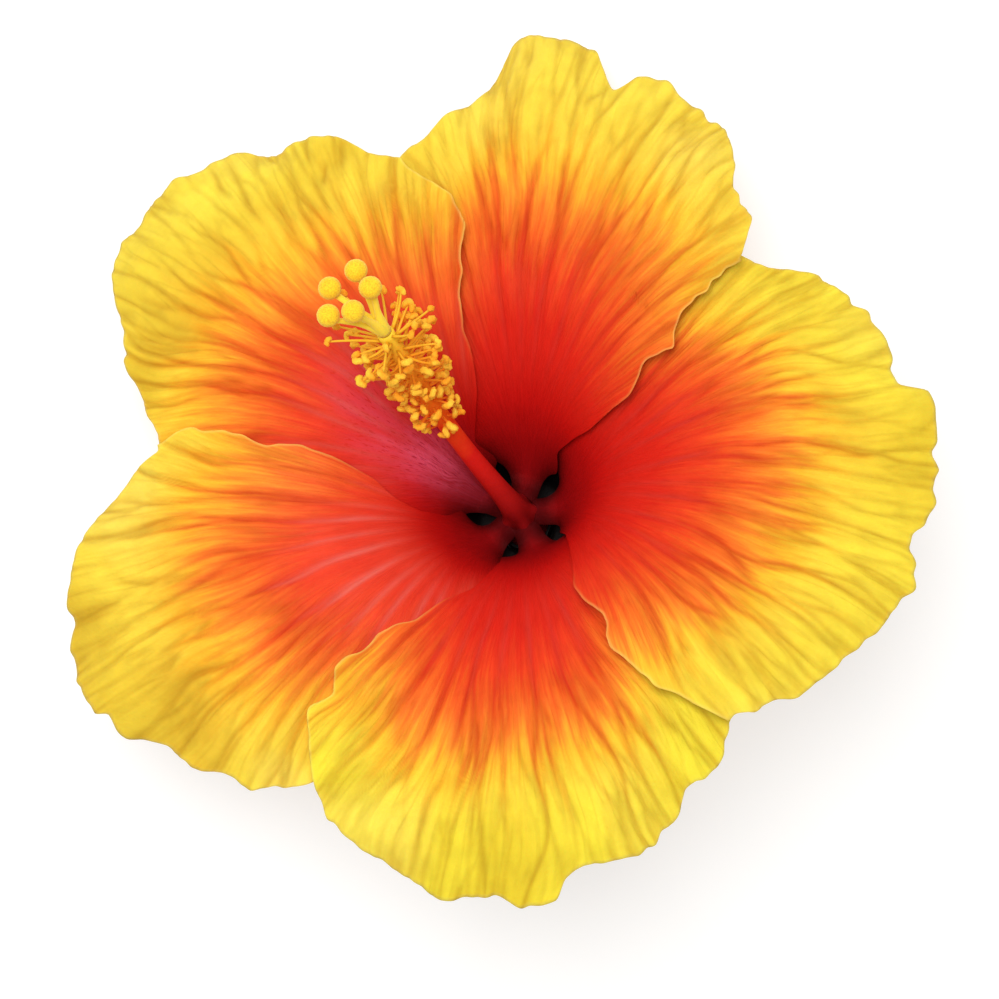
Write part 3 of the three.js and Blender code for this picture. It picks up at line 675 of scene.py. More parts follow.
def green_material(looks, name, deep, light, inside):
    """Calyx and bracts: leathery green, ribbed, dulled by a down of short hairs."""
    material, add = new_material(name)
    rib = add("Attribute", attribute_name="rib").outputs["Fac"]
    inner = add("Attribute", attribute_name="inner").outputs["Fac"]
    place = add("TexCoord").outputs["Object"]
    # blotches 4 mm across, and a down of hairs 0.3 mm apart
    blotch = add("TexNoise", {"Vector": place, "Scale": 1 / (4 * MM), "Detail": 4,
                              "Roughness": 0.6})
    blotch = add("MapRange", {"Value": blotch, "From Min": 0.3, "From Max": 0.7})
    down = add("TexNoise", {"Vector": place, "Scale": 1 / (0.3 * MM), "Detail": 2})
    colour = deep
    # inner wall: near black for the calyx, painted shade of the cup below the throat's holes
    for share, over in ((blotch, light), (rib, looks.rib), (inner, inside)):
        colour = add("Mix", {0: share, 6: colour, 7: over}, data_type="RGBA")
    tint = add("MapRange", {"Value": down, "From Min": 0.3, "From Max": 0.7, "To Min": 0.85,
                            "To Max": 1.12})
    colour = add("VectorMath", {0: colour, "Scale": tint}, operation="SCALE")
    finish(add, colour, down, 0.5, 0.15, {"Roughness": 0.6, "Specular IOR Level": 0.2,
                                          "Sheen Weight": 0.03, "Sheen Roughness": 0.5})
    return material


def stalk_material(looks):
    """Young stalk: smooth green bark with faint lengthwise lines, and a pale moist cut."""
    material, add = new_material("young stalk, cut")
    rind = add("Attribute", attribute_name="rind").outputs["Fac"]
    inner = add("Attribute", attribute_name="inner").outputs["Fac"]
    flow = add("Attribute", attribute_name="flow").outputs["Vector"]
    # lines 0.4 mm wide and 4 mm long
    lines = add("Mapping", {"Vector": flow, "Scale": (1 / 0.4, 1 / 4, 1)})
    lines = add("TexNoise", {"Vector": lines, "Scale": 1, "Detail": 3})
    bark = add("Mix", {0: lines, 6: looks.stalk_dark, 7: looks.stalk_light}, data_type="RGBA")
    colour = add("Mix", {0: rind, 6: looks.pith, 7: bark}, data_type="RGBA")
    # the receptacle's top inside the calyx is near black: painted shade
    colour = add("Mix", {0: inner, 6: colour, 7: looks.inside}, data_type="RGBA")
    finish(add, colour, lines, 0.5, 0.12, {"Roughness": 0.5, "Specular IOR Level": 0.2})
    return material


def card_material(colour, glow):
    """Matt white card, with a grain 0.8 mm across, lit a little from below."""
    material, add = new_material("matt white card")
    place = add("TexCoord").outputs["Object"]
    grain = add("TexNoise", {"Vector": place, "Scale": 1 / (0.8 * MM), "Detail": 2})
    finish(add, colour, grain, 0.05, 0.05, {
        "Roughness": 0.9, "Specular IOR Level": 0.1, "Emission Color": (1, 1, 1),
        "Emission Strength": glow})
    return material


# --- petals
def vein_field(flow, width, radius, seed):
    """How close each point is to a vein, 0 to 1: in a broad bell that the colour follows, and in
    a narrow one for the furrow.

    Each vein keeps its place in the blade's flow and wavers; it forks twice, and the branches
    part by drawn shares of the spacing over the fork's length. Each branch has a drawn depth
    that rises and sinks along it, and the strongest bell counts.
    """
    draw = np.random.default_rng(seed)
    spacing = LIMB_WIDTH / VEIN_COUNT
    broad, narrow = np.zeros_like(radius), np.zeros_like(radius)
    for number in range(VEIN_COUNT):
        place = (number + 0.5 - VEIN_COUNT / 2) * spacing + draw.uniform(-1.8, 1.8)
        first, second = np.array(VEIN_FORKS) + draw.uniform(-9, 9, 2)
        opened = smooth(first, first + FORK_LENGTH, radius)
        opened_again = smooth(second, second + FORK_LENGTH, radius)
        for side in (-1, 1):
            parted = side * spacing * draw.uniform(0.16, 0.34) * opened
            for twig in (-1, 1):
                again = twig * spacing * draw.uniform(0.07, 0.2) * opened_again
                mark = radius * 0 + side + 2 * twig
                waver = 0.9 * noise(radius / 12, mark, seed + number)
                waver = waver + 0.4 * noise(radius / 5, mark, seed + 20 + number)
                away = (flow - place - parted - again - waver * smooth(14, 40, radius)) * width
                strength = 0.62 + 0.38 * noise(radius / 8, mark, seed + 40 + number)
                depth = draw.uniform(0.45, 1) * strength
                broad = np.maximum(broad, depth * bump(away, VEIN_WIDTH))
                narrow = np.maximum(narrow, depth * bump(away, FURROW_WIDTH))
    return broad, narrow


def crease_field(flow, width, radius, seed):
    """How close each point is to a short crease between the veins, 0 to 1, in its broad valley
    and along its narrow bottom.

    Each crease has a drawn place in the blade's flow, start, length, lean, bend and depth. It
    bends as a sine over its length, sinks in over its first part and runs out over its last. The
    deepest one counts.
    """
    draw = np.random.default_rng(seed)
    broad, narrow = np.zeros_like(radius), np.zeros_like(radius)
    for _ in range(CREASE_COUNT):
        place = draw.uniform(-0.55, 0.55) * LIMB_WIDTH
        start, long = draw.uniform(*CREASE_START), draw.uniform(*CREASE_LENGTH)
        lean, bend = draw.uniform(-1, 1, 2) * (CREASE_LEAN, CREASE_BEND)
        along = (radius - start) / long
        bent = lean * long * (along - 0.5) + bend * np.sin(2 * np.pi * along)
        depth = draw.uniform(0.35, 1) * smooth(0, 0.45, along) * (1 - smooth(0.5, 1, along))
        away = (flow - place - bent) * width
        broad = np.maximum(broad, depth * bump(away, CREASE_WIDTH))
        narrow = np.maximum(narrow, depth * bump(away, CREASE_LINE))
    return broad, narrow


def bloom(radius, azimuth, offset):
    """A point of the surface that all the petals lie on, moved off it by offset along its normal:
    the funnel's height plus cosine waves round the rim that rise towards the outside."""
    funnel = line(FUNNEL)
    slope = (funnel(radius + 0.2) - funnel(radius - 0.2)) / 0.4
    swell = sum(high * np.cos(np.radians(count * azimuth + phase)) for count, high, phase in WAVES)
    run = np.hypot(1, slope)
    out = radius - slope / run * offset
    height = funnel(radius) + swell * smooth(WAVES_FROM, WAVES_FULL, radius) + offset / run
    return about_axis(out, np.radians(azimuth), height)


def petal(number, sizes):
    """One petal's middle surface, thickness and attributes, over across (0 at the tucked edge, 1
    at the free one) and along (0 at the claw, 1 at the rim).

    Radius and azimuth follow the claw, the free edge, waved by noise, and the rim, nicked by
    noise. The offset from the bloom's surface is the layer that keeps neighbours apart, the
    claw's arch, the raised free edge, the folds, and the relief: furrows along the veins, short
    creases between them, lumps, a slow swell, and ruffles at the margin. The attributes give the
    material the place on its ramp, the furrows, and where each tint lies.
    """
    own, neighbour = PETALS[number], PETALS[number - 1]
    over, rim, beside = line(own["over"]), line(own["rim"]), line(neighbour["over"])
    claw, tuck = line(CLAW), line(TUCK)
    turn = 360 / len(PETALS)
    seed = 100 * (number + 1)

    def azimuth_at(radius, across):
        opened = smooth(CLAW_END, BLADE_START, radius)
        waves = 0.9 * noise(radius / 4, 0 * radius, seed + 16)
        waves = waves + 0.5 * noise(radius / 1.7, 0 * radius, seed + 17)
        waves = waves * smooth(18, 28, radius) * (1 - smooth(46, 56, radius))
        free = mix(-claw(radius), over(radius) + waves, opened)
        tucked = mix(claw(radius), beside(radius) + turn + tuck(radius), opened)
        return mix(tucked, free, across)

    across, along = np.meshgrid(np.linspace(0, 1, sizes.columns + 1),
                                np.linspace(0, 1, sizes.rows + 1))
    nick = 0.6 * noise(across * 20, across * 0, seed)
    nick = nick + 0.5 * noise(across * 58, across * 0, seed + 1)
    edge = rim(azimuth_at(RIM_RADIUS, across)) + nick
    radius = mix(PETAL_ROOT_RADIUS, edge, along ** 1.15)

    def out(low, high):
        """From 0 to 1 between two radii."""
        return smooth(low, high, radius)

    def drift(x, y, own_seed):
        """Noise of this petal alone."""
        return noise(x, y, seed + own_seed)

    azimuth = azimuth_at(radius, across)
    fan = line(FAN)(radius)
    flow = (azimuth - FAN_MIDDLE) / fan * LIMB_WIDTH
    width = np.radians(fan) * radius / LIMB_WIDTH

    layer = line(LAYER)(radius) * (2 * across - 1)
    arch = CLAW_ARCH * (0.5 - (2 * across - 1) ** 2) * (1 - out(6, 13))
    arch = arch + ROOT_CLIMB * (1 - out(PETAL_ROOT_RADIUS, 5.4))
    raised = own["lift"] * smooth(0.72, 1, across) * out(18, 40)
    raised = raised * (0.9 + 0.5 * drift(radius / 4.5, 0 * radius, 18))
    folds = sum(high * bump(azimuth - at, wide) * out(low, full)
                for at, wide, high, low, full in own["folds"])

    flow = flow + 1.6 * drift(flow / 11, radius / 15, 8) * out(14, 40)
    vein, furrow = vein_field(flow, width, radius, seed)
    vein, furrow = vein * out(12, 30), furrow * out(14, 32)
    uncovered = smooth(0.02, 0.16, across)
    valley, bottom = crease_field(flow, width, radius, seed + 60)
    lumps = drift(flow / 6, radius / 8, 3)
    open_limb = out(20, 44) * mix(0.4, 1, uncovered)
    crinkle = (LUMP_SHARE * lumps - VALLEY_SHARE * valley) * open_limb
    furrow = np.maximum(furrow, 0.75 * bottom * open_limb)
    swell = drift(flow / 13, radius / 17, 4) * out(30, 56) * uncovered
    ruffle = 0.7 * drift(flow / 6, radius / 14, 5)
    ruffle = ruffle + 0.5 * drift(flow / 3, radius / 9, 6)
    outer = edge - radius
    ruffle = ruffle * (1 - smooth(0, 11, outer)) * uncovered
    relief = crinkle - VEIN_SHARE * vein - FURROW_SHARE * furrow
    slow = drift(flow / 15, radius / 12, 14)
    offset = (layer + arch + raised + folds + relief * sizes.crinkle / MM + swell * sizes.swell / MM
              + ruffle * sizes.ruffle / MM)
    middle = bloom(radius, FIRST_CLAW - turn * number + azimuth, offset)

    side = np.minimum(across, 1 - across) * np.radians(95) * radius
    thin = smooth(0, 3, np.minimum(side, outer))
    blade = mix(RIM_THICKNESS, sizes.thickness / MM, thin)
    thickness = mix(CLAW_THICKNESS, blade, out(4, 12))

    tone = np.array(own["tone"])
    red_in, red_out = line(tone[:, [0, 1]])(azimuth), line(tone[:, [0, 2]])(azimuth)
    reach = radius / mix(red_in, red_out, out(26, 50))
    # near the throat the colour keeps to the radius
    reach = mix(radius, reach, out(10, 24))
    reach = reach - VEIN_PULL * vein * out(18, 38) * (1 - out(54, 68))
    at, wide, middle_radius, deep = BLUSH
    patch = bump(azimuth - at, wide) * bump(radius - middle_radius, deep)
    beside_column = bump(azimuth - mix(8, -8, out(16, 40)), 13)
    beside_column = 0.42 * beside_column * out(10, 16) * (1 - out(19, 38))
    patch = own["blush"] * np.maximum(patch, beside_column)
    # painted shade on the claws about the hole between each two of them
    pit_at, pit_wide, pit_long = HOLE_SHADE_PLACE
    beside_hole = (np.abs(azimuth) - turn / 2) * np.radians(radius)
    hole_shade = bump(beside_hole, pit_wide) * bump(radius - pit_at, pit_long)
    # painted sheen over the inner limb, as strong as the petal's pale threads
    painted_sheen = own["silver"] * out(13, 22) * (1 - out(28, 46))
    attributes = {
        "reach": reach,
        "furrow": furrow,
        "relief": relief,
        "lemon": radius * 0 + own["lemon"],
        "blush": patch * (0.8 + 0.4 * drift(flow / 2, radius / 4, 7)),
        "silver": radius * 0 + own["silver"],
        "hole_shade": hole_shade,
        "painted_sheen": painted_sheen * mix(0.35, 1, 0.5 + 0.5 * slow),
        "shade": slow * out(44, 64),
        "margin": 0.35 * (1 - smooth(0, 0.6, np.minimum(side, outer))) * out(20, 32),
        "flow": np.stack([flow, radius, radius * 0 + 40.0 * number], -1),
    }
    return middle, thickness, attributes


# --- column and pistil
def column_frame(along):
    """Points of the column's path, the way ahead and the two directions across it."""
    read = path(COLUMN_PATH)
    along = np.asarray(along, float)
    ahead = unit(read(along + 0.004) - read(along - 0.004))
    a = np.radians(COLUMN_TOWARD)
    across = unit(np.cross(np.array([-np.sin(a), np.cos(a), 0]), ahead))
    return read(along), ahead, across, np.cross(ahead, across)


def column_rings(along, radius, sides):
    """Rings about the column's path, (rings, sides, 3), with a radius each or one a point."""
    point, _, across, sideways = column_frame(along)
    angle = turns(sides)[None, :, None]
    radius = (np.asarray(radius, float) + 0 * angle[..., 0])[..., None]
    spoke = across[:, None] * np.cos(angle) + sideways[:, None] * np.sin(angle)
    return point[:, None] + radius * spoke


def column_tube(steps=90, sides=40):
    """The hollow column: its outside wall up, and its inside wall down again. At the foot the
    outside is rippled by a cosine into five buttresses, one to each claw."""
    along = COLUMN_TOP * np.linspace(0, 1, steps) ** 1.3
    outside, inside = line(COLUMN_OUTSIDE)(along), line(COLUMN_INSIDE)(along)
    angle = turns(sides, 360) + COLUMN_TOWARD - FIRST_CLAW
    reach = BUTTRESS * bump(along - BUTTRESS_AT, BUTTRESS_WIDE)[:, None]
    reach = reach * np.cos(np.radians(len(PETALS) * angle))
    wall = column_rings(along, outside[:, None] * (1 + reach), sides)
    bore = column_rings(along[::-1], inside[::-1, None] + 0 * reach, sides)
    points = np.concatenate([wall, bore]).reshape(-1, 3)
    rows = 2 * steps
    i = np.arange(sides)
    k = (i + 1) % sides
    last = (rows - 1) * sides
    foot = np.stack([last + i, last + k, k, i], -1)
    places = np.repeat(np.concatenate([along, along[::-1]]), sides)
    return points, [np.vstack([cells(rows, sides, True), foot])], places


def stamens(sizes):
    """Every filament and anther, as batches of skins.

    A filament leaves the column at a golden-angle turn, rises by a drawn angle and bends as a
    parabola; it is longer towards the tip. An anther is a horseshoe, a fat arc whose thickness
    follows half an ellipse, hung by the middle of its back.
    """
    draw = np.random.default_rng(STAMEN_SEED)
    count = sizes.stamens
    part = np.linspace(0, 1, count)
    along = mix(STAMEN_FIRST, STAMEN_LAST, part ** 0.8)
    turn = np.radians(GOLDEN_ANGLE * np.arange(count) + draw.uniform(-14, 14, count))
    length = mix(*STAMEN_LENGTHS, part ** 0.8) * draw.uniform(0.45, 1.05, count)
    rise = np.radians(mix(*STAMEN_RISE, draw.uniform(0, 1, count)))
    bend = np.radians(draw.uniform(-8, 26, count))
    point, ahead, across, sideways = column_frame(along)
    out = across * np.cos(turn)[:, None] + sideways * np.sin(turn)[:, None]
    beside = unit(np.cross(ahead, out))

    def lean(angle):
        return out * np.cos(angle)[:, None] + ahead * np.sin(angle)[:, None]

    s = np.linspace(0, 1, FILAMENT_RINGS)[None, :, None]
    start = point + out * STAMEN_ROOT
    first, last = lean(rise - bend)[:, None], lean(rise + bend)[:, None]
    centre = start[:, None] + length[:, None, None] * (first * (s - s**2 / 2) + last * s**2 / 2)
    angle = turns(FILAMENT_SIDES)[None, None, :, None]
    up = lean(rise + np.pi / 2)[:, None, None]
    radius = mix(1.35, 0.75, s)[..., None] * sizes.filament / MM
    around = beside[:, None, None] * np.cos(angle) + up * np.sin(angle)
    filaments = skin(centre[:, :, None] + radius * around, start, centre[:, -1])

    # the horseshoe's arc, from one tip to the other, and the rings about it
    steps, sides = ANTHER_RINGS, ANTHER_SIDES
    scale = (draw.uniform(0.82, 1.15, count) * sizes.anther / MM / 2)[:, None]
    twist = draw.uniform(0, 2 * np.pi, count)[:, None]
    tilt = draw.uniform(-0.7, 0.7, count)[:, None]
    tip = unit(centre[:, -1] - centre[:, -2])
    flat = unit(beside * np.cos(twist) + np.cross(tip, beside) * np.sin(twist))
    other = np.cross(tip, flat)
    tip = unit(tip + flat * tilt)
    other = unit(np.cross(tip, flat))
    flat = np.cross(other, tip)
    opening = draw.uniform(0.75, 1.25, count)[:, None]
    arc = np.linspace(-1, 1, steps)[None] * opening * ANTHER_ARC
    spoke = flat[:, None] * np.sin(arc)[..., None] + tip[:, None] * np.cos(arc)[..., None]
    middle = scale[..., None] * (ANTHER_RADIUS * spoke - 0.3 * tip[:, None])
    middle = centre[:, -1][:, None] + middle
    fat = ANTHER_FAT * np.sqrt(np.clip(1 - np.linspace(-0.97, 0.97, steps) ** 4, 0, 1))
    step = np.arange(steps)[None, :, None] * 1.2 + np.arange(count)[:, None, None]
    lumps = 1 + ANTHER_LUMPS * noise(step, np.arange(sides)[None, None] * 1.1, STAMEN_SEED + 10)
    angle = turns(sides)[None, None, :, None]
    size = (scale[..., None] * fat[None, :, None] * lumps)[..., None]
    around = spoke[:, :, None] * np.cos(angle) + other[:, None, None] * np.sin(angle)
    rings = middle[:, :, None] + size * around
    return filaments, skin(rings[:, :, ::-1], middle[:, 0], middle[:, -1]), along


def branch(turn, spread, sizes):
    """One branch of the style and its stigma: the path runs ahead and curves outwards by its
    length to the power 1.3, and the pad is a sphere roughened by noise over its surface."""
    _, ahead, across, sideways = (x[0] for x in column_frame([STYLE_END - 0.01]))
    start = column_frame([STYLE_END - 0.012])[0][0]
    turn = np.radians(turn)
    out = across * np.cos(turn) + sideways * np.sin(turn)
    beside = unit(np.cross(ahead, out))
    part = np.linspace(0, 1, 16)[:, None]
    centre = start + BRANCH_LENGTH * (ahead * part + out * np.tan(np.radians(spread)) * part**1.3)
    angle = turns(14)[None, :, None]
    radius = sizes.branch / MM * mix(2.1, 0.95, smooth(0, 0.6, part))[:, None]
    rings = centre[:, None] + radius * (out * np.cos(angle) + beside * np.sin(angle))
    stem = skin(rings[None], centre[:1], centre[-1:])

    pad = sizes.stigma / MM
    middle = centre[-1] + ahead * pad * 0.6
    polar = np.linspace(0, np.pi, 34)[1:-1][:, None]
    azimuth = turns(56)[None]
    rough = 1 + 0.02 * noise(azimuth * 56 / (2 * np.pi) + 0 * polar, polar * 18, int(turn * 100))
    size = (pad * rough * (0.94 + 0.06 * np.sin(polar)))[..., None]
    ways = about_axis(np.sin(polar), azimuth, -np.cos(polar))
    rings = middle + size * sum(ways[..., n, None] * axis
                                for n, axis in enumerate((out, beside, ahead)))
    ball = skin(rings[None], (middle - ahead * pad)[None], (middle + ahead * pad)[None])
    return stem, ball


# --- calyx, epicalyx, stalk
def calyx_surface(columns=200, rows=44):
    """The calyx's middle surface: its profile turned about the axis and cut into lobes. Each
    lobe's top falls from its tip to the notch, and a rib runs up each lobe and each notch."""
    across = np.linspace(0, 1, columns, endpoint=False)[None]
    along = np.linspace(0, 1, rows)[:, None]
    phase = (across * CALYX_LOBES) % 1
    within = np.abs(phase - 0.5) * 2
    top = mix(1, CALYX_SINUS, within**1.2)
    profile = path(CALYX_PROFILE)(along * top)
    ribs = bump(within, 0.1) + bump(1 - within, 0.1) + 0.5 * bump(within - 0.5, 0.07)
    radius = profile[..., 0] + 0.3 * ribs * smooth(0, 0.25, along) - 0.15
    angle = -2 * np.pi * across + np.radians(FIRST_CLAW)
    middle = about_axis(radius, angle, profile[..., 1])
    return middle, ribs * smooth(0, 0.2, along), along + 0 * across


def bract(number, columns=9, rows=26):
    """One narrow bract: its profile leaned out of the ring, wide at the root and pointed, with
    its edges raised along the midrib."""
    across, along = np.meshgrid(np.linspace(0, 1, columns), np.linspace(0, 1, rows))
    profile = path(BRACT_PROFILE)(along)
    width = BRACT_HALF_WIDTH * (1 - along**2.5) + 0.2
    keel = 0.3 * (1 - 2 * across) ** 2 * width
    middle = np.stack([profile[..., 0] - keel, (1 - 2 * across) * width,
                       profile[..., 1] + keel * 0.5], -1)
    a = np.radians(360 / BRACT_COUNT * number + BRACT_TURN)
    turn = np.array([[np.cos(a), np.sin(a), 0], [-np.sin(a), np.cos(a), 0], [0, 0, 1]])
    return middle @ turn, bump(1 - 2 * across, 0.22)


def dense(profile, step=0.35):
    """The same profile with points added along its straight stretches."""
    p = np.array(profile, float)
    lengths = travelled(p)
    at = np.union1d(np.arange(0, lengths[-1], step), lengths)
    return np.stack([np.interp(at, lengths, p[:, n]) for n in range(2)], -1)


# --- settings
def swatch(name, what, hex_colour):
    """A colour that a user may change."""
    return FloatVectorProperty(name=name, description=what, default=linear(hex_colour),
                               subtype="COLOR", size=3, min=0, max=1)


def length(name, what, millimetres):
    """A length that a user may change."""
    return FloatProperty(name=name, description=what, default=millimetres * MM, unit="LENGTH",
                         subtype="DISTANCE", min=0)


def amount(name, what, default):
    """A plain number that a user may change."""
    return FloatProperty(name=name, description=what, default=default, min=0)


def count(name, what, default, least):
    """A whole number that a user may change."""
    return IntProperty(name=name, description=what, default=default, min=least)


class HibiscusPetalSettings(bpy.types.PropertyGroup):
    """Sizes and colours of the petals."""
    columns: count("Columns", "Cells across a petal", 300, 20)
    rows: count("Rows", "Cells from claw to rim", 125, 20)
    thickness: length("Thickness", "Thickness of the blade", 0.35)
    crinkle: length("Crinkle", "Depth of the furrows and crinkles", 0.5)
    swell: length("Swell", "Height of the slow swell of the limb", 0.7)
    ruffle: length("Ruffle", "Height of the ruffled margin", 1.0)
    streak_reach: length("Streak reach", "How far a wide streak carries the colour out", 15)
    thread_reach: length("Thread reach", "How far a fine streak carries the colour out", 8)
    throat: swatch("Throat", "Floor of the throat", "#760d12")
    wine: swatch("Wine", "Foot of the funnel", "#a81013")
    crimson: swatch("Crimson", "Funnel wall", "#bf120e")
    scarlet: swatch("Scarlet", "Top of the funnel", "#cc2012")
    vermilion: swatch("Vermilion", "Start of the limb", "#d63818")
    coral: swatch("Coral", "Inner limb", "#dd551c")
    orange: swatch("Orange", "Middle of the limb", "#e77424")
    apricot: swatch("Apricot", "Middle of the limb", "#eb9229")
    gold: swatch("Gold", "Outer limb", "#ecac2c")
    yellow: swatch("Yellow", "Outer limb", "#e9c03c")
    pale: swatch("Pale", "Rim", "#eacd44")
    lemon: swatch("Lemon", "Greener yellow of some rims", "#e3d732")
    # the veins' own darker tone, also used as painted shade in furrows, hollows and pleats
    furrow: swatch("Furrow", "Tint of the furrows", "#b98c43")
    olive: swatch("Olive", "Tint of the rim's olive parts", "#e0c890")
    cream: swatch("Cream", "Paler parts of the rim", "#eed760")
    # painted shade on the claws beside the throat's holes
    hole_shade: swatch("Pit", "Claws beside the holes", "#140606")
    violet: swatch("Violet", "Patch beside the column", "#e65a76")
    fleck: swatch("Fleck", "Flecks in the patch", "#9a1434")
    silver: swatch("Silver", "Pale threads near the claw", "#f49a8c")
    # painted sheen of the inner limb, milky coral
    painted_sheen: swatch("Haze", "Milky coral of the inner limb", "#f0573c")
    margin: swatch("Margin", "Very edge of a petal", "#e8d172")
    underside: swatch("Underside", "Paler back of a petal", "#e2b568")


class HibiscusColumnSettings(bpy.types.PropertyGroup):
    """Sizes and colours of the staminal column and the pistil."""
    stamens: count("Stamens", "How many stamens stand on the column", 150, 5)
    filament: length("Filament", "Radius of a filament", 0.2)
    anther: length("Anther", "Width of an anther", 2.15)
    branch: length("Branch", "Radius of a branch of the style", 0.55)
    stigma: length("Stigma", "Radius of a stigma", 1.8)
    foot: swatch("Foot", "Column in the throat", "#8a1014")
    shaft: swatch("Shaft", "Column above the throat", "#d4211a")
    flame: swatch("Flame", "Column below the anthers", "#ec4a1a")
    amber: swatch("Amber", "Column among the anthers", "#f2811f")
    honey: swatch("Honey", "Column near its tip", "#efa227")
    tip: swatch("Tip", "Column's tip", "#e6bc30")
    anther_colour: swatch("Anther", "Walls of an anther", "#fba222")
    pollen: swatch("Pollen", "Pollen", "#ffcb3e")
    style: swatch("Style", "Branches of the style", "#efd03a")
    stigma_colour: swatch("Stigma", "Papillae of a stigma", "#fbd628")
    stigma_shade: swatch("Stigma shade", "Between the papillae", "#dba51c")


class HibiscusGreenSettings(bpy.types.PropertyGroup):
    """Sizes and colours of the calyx, the epicalyx and the stalk."""
    thickness: length("Calyx thickness", "Wall of the calyx", 0.7)
    bract: length("Bract thickness", "Thickness of a bract", 0.5)
    deep: swatch("Deep green", "Darker blotches of the calyx", "#4e7a2c")
    light: swatch("Light green", "Lighter blotches of the calyx", "#7da24a")
    rib: swatch("Rib", "Ribs of the calyx and the bracts", "#a3bd68")
    # near black: painted shade of the cup below the throat's holes, not the wall's green
    inside: swatch("Inside", "Inner wall of the calyx", "#0c0605")
    bract_deep: swatch("Bract deep", "Darker blotches of a bract", "#3f6a26")
    bract_light: swatch("Bract light", "Lighter blotches of a bract", "#6b9440")
    stalk_dark: swatch("Stalk dark", "Darker lines of the stalk", "#5c7a2e")
    stalk_light: swatch("Stalk light", "Lighter lines of the stalk", "#8fae52")
    pith: swatch("Pith", "The stalk's cut end", "#dbe0b0")


class HibiscusStageSettings(bpy.types.PropertyGroup):
    """The floor and the light."""
    floor: swatch("Floor", "Plain pale floor", "#cccccb")
    glow: amount("Floor glow", "How far the floor is lit from below", 0.45)
    key: amount("Key light", "Power of the key light in watts", 3.6)
    sky: amount("Sky", "Strength of the even light from all round", 0.64)


class HibiscusSettings(bpy.types.PropertyGroup):
    """All the flower's settings."""
    petals: PointerProperty(type=HibiscusPetalSettings)
    column: PointerProperty(type=HibiscusColumnSettings)
    greens: PointerProperty(type=HibiscusGreenSettings)
    stage: PointerProperty(type=HibiscusStageSettings)


# --- operators
class HIBISCUS_OT_petals(bpy.types.Operator):
    """Build the five petals, each tucked under the next"""
    bl_idname = "hibiscus.petals"
    bl_label = "Petals"

    def execute(self, context):
        sizes = context.scene.hibiscus.petals
        material = petal_material(sizes)
        for number in range(len(PETALS)):
            middle, thickness, fields = petal(number, sizes)
            points, faces, source, under = shell(middle, thickness)
            fields = {key: f.reshape(-1, f.shape[-1] if f.ndim == 3 else 1)[source].squeeze()
                      for key, f in fields.items()}
            fields["under"] = under * smooth(14, 26, fields["flow"][:, 1])
            name = f"petal_{number + 1}"
            add_piece(name + "_fine", points, faces, material, [name], fields)
        return {"FINISHED"}


class HIBISCUS_OT_column(bpy.types.Operator):
    """Build the staminal column with its filaments and anthers"""
    bl_idname = "hibiscus.column"
    bl_label = "Staminal column"

    def execute(self, context):
        sizes = context.scene.hibiscus.column
        tissue = column_material(sizes)
        points, faces, along = column_tube()
        slot, nodes = "stamens", ["staminal_column"]
        add_piece("column_fine", points, faces, tissue, nodes, {"along": along})
        filaments, anthers, roots = stamens(sizes)
        points, faces = filaments
        tint = np.repeat(roots * 0.75 + 0.2, len(points) // len(roots))
        add_piece("filaments", points, faces, tissue, nodes, {"along": tint})
        points, faces = anthers
        add_piece("anthers", points, faces, anther_material(sizes), nodes)
        return {"FINISHED"}


class HIBISCUS_OT_pistil(bpy.types.Operator):
    """Build the ovary, the style and its five branches with their stigmas"""
    bl_idname = "hibiscus.pistil"
    bl_label = "Pistil"

    def execute(self, context):
        sizes = context.scene.hibiscus.column
        foot = column_frame([0.0])[0][0]
        ovary_points, ovary_faces = turned(dense(OVARY_PROFILE), 30)
        along = np.linspace(STYLE_START, STYLE_END, STYLE_RINGS)
        rings = column_rings(along, np.full((STYLE_RINGS, 1), STYLE_RADIUS), STYLE_SIDES)
        style = skin(rings[None], rings[:1].mean(1), rings[-1:].mean(1))
        parts = [(ovary_points + foot, ovary_faces), style]
        marks = [np.zeros(len(ovary_points)), np.zeros(len(style[0]))]
        for turn, spread in BRANCHES:
            stem, ball = branch(turn, spread, sizes)
            parts += [stem, ball]
            marks += [np.zeros(len(stem[0])), np.ones(len(ball[0]))]
        points, faces = joined(parts)
        add_piece("pistil_fine", points, faces, stigma_material(sizes), ["pistil"],
                  {"ball": np.concatenate(marks)})
        return {"FINISHED"}


class HIBISCUS_OT_calyx(bpy.types.Operator):
    """Build the five-lobed calyx"""
    bl_idname = "hibiscus.calyx"
    bl_label = "Calyx"

    def execute(self, context):
        looks = context.scene.hibiscus.greens
        middle, ribs, along = calyx_surface()
        thickness = looks.thickness / MM * mix(1, 0.45, smooth(0.6, 1, along))
        points, faces, source, under = shell(middle, thickness, ring=True)
        material = green_material(looks, "calyx, downy green", looks.deep, looks.light,
                                  looks.inside)
        add_piece("calyx_fine", points, faces, material, ["calyx"],
                  {"rib": 0.5 * np.clip(ribs, 0, 1).ravel()[source], "inner": 1 - under})
        return {"FINISHED"}


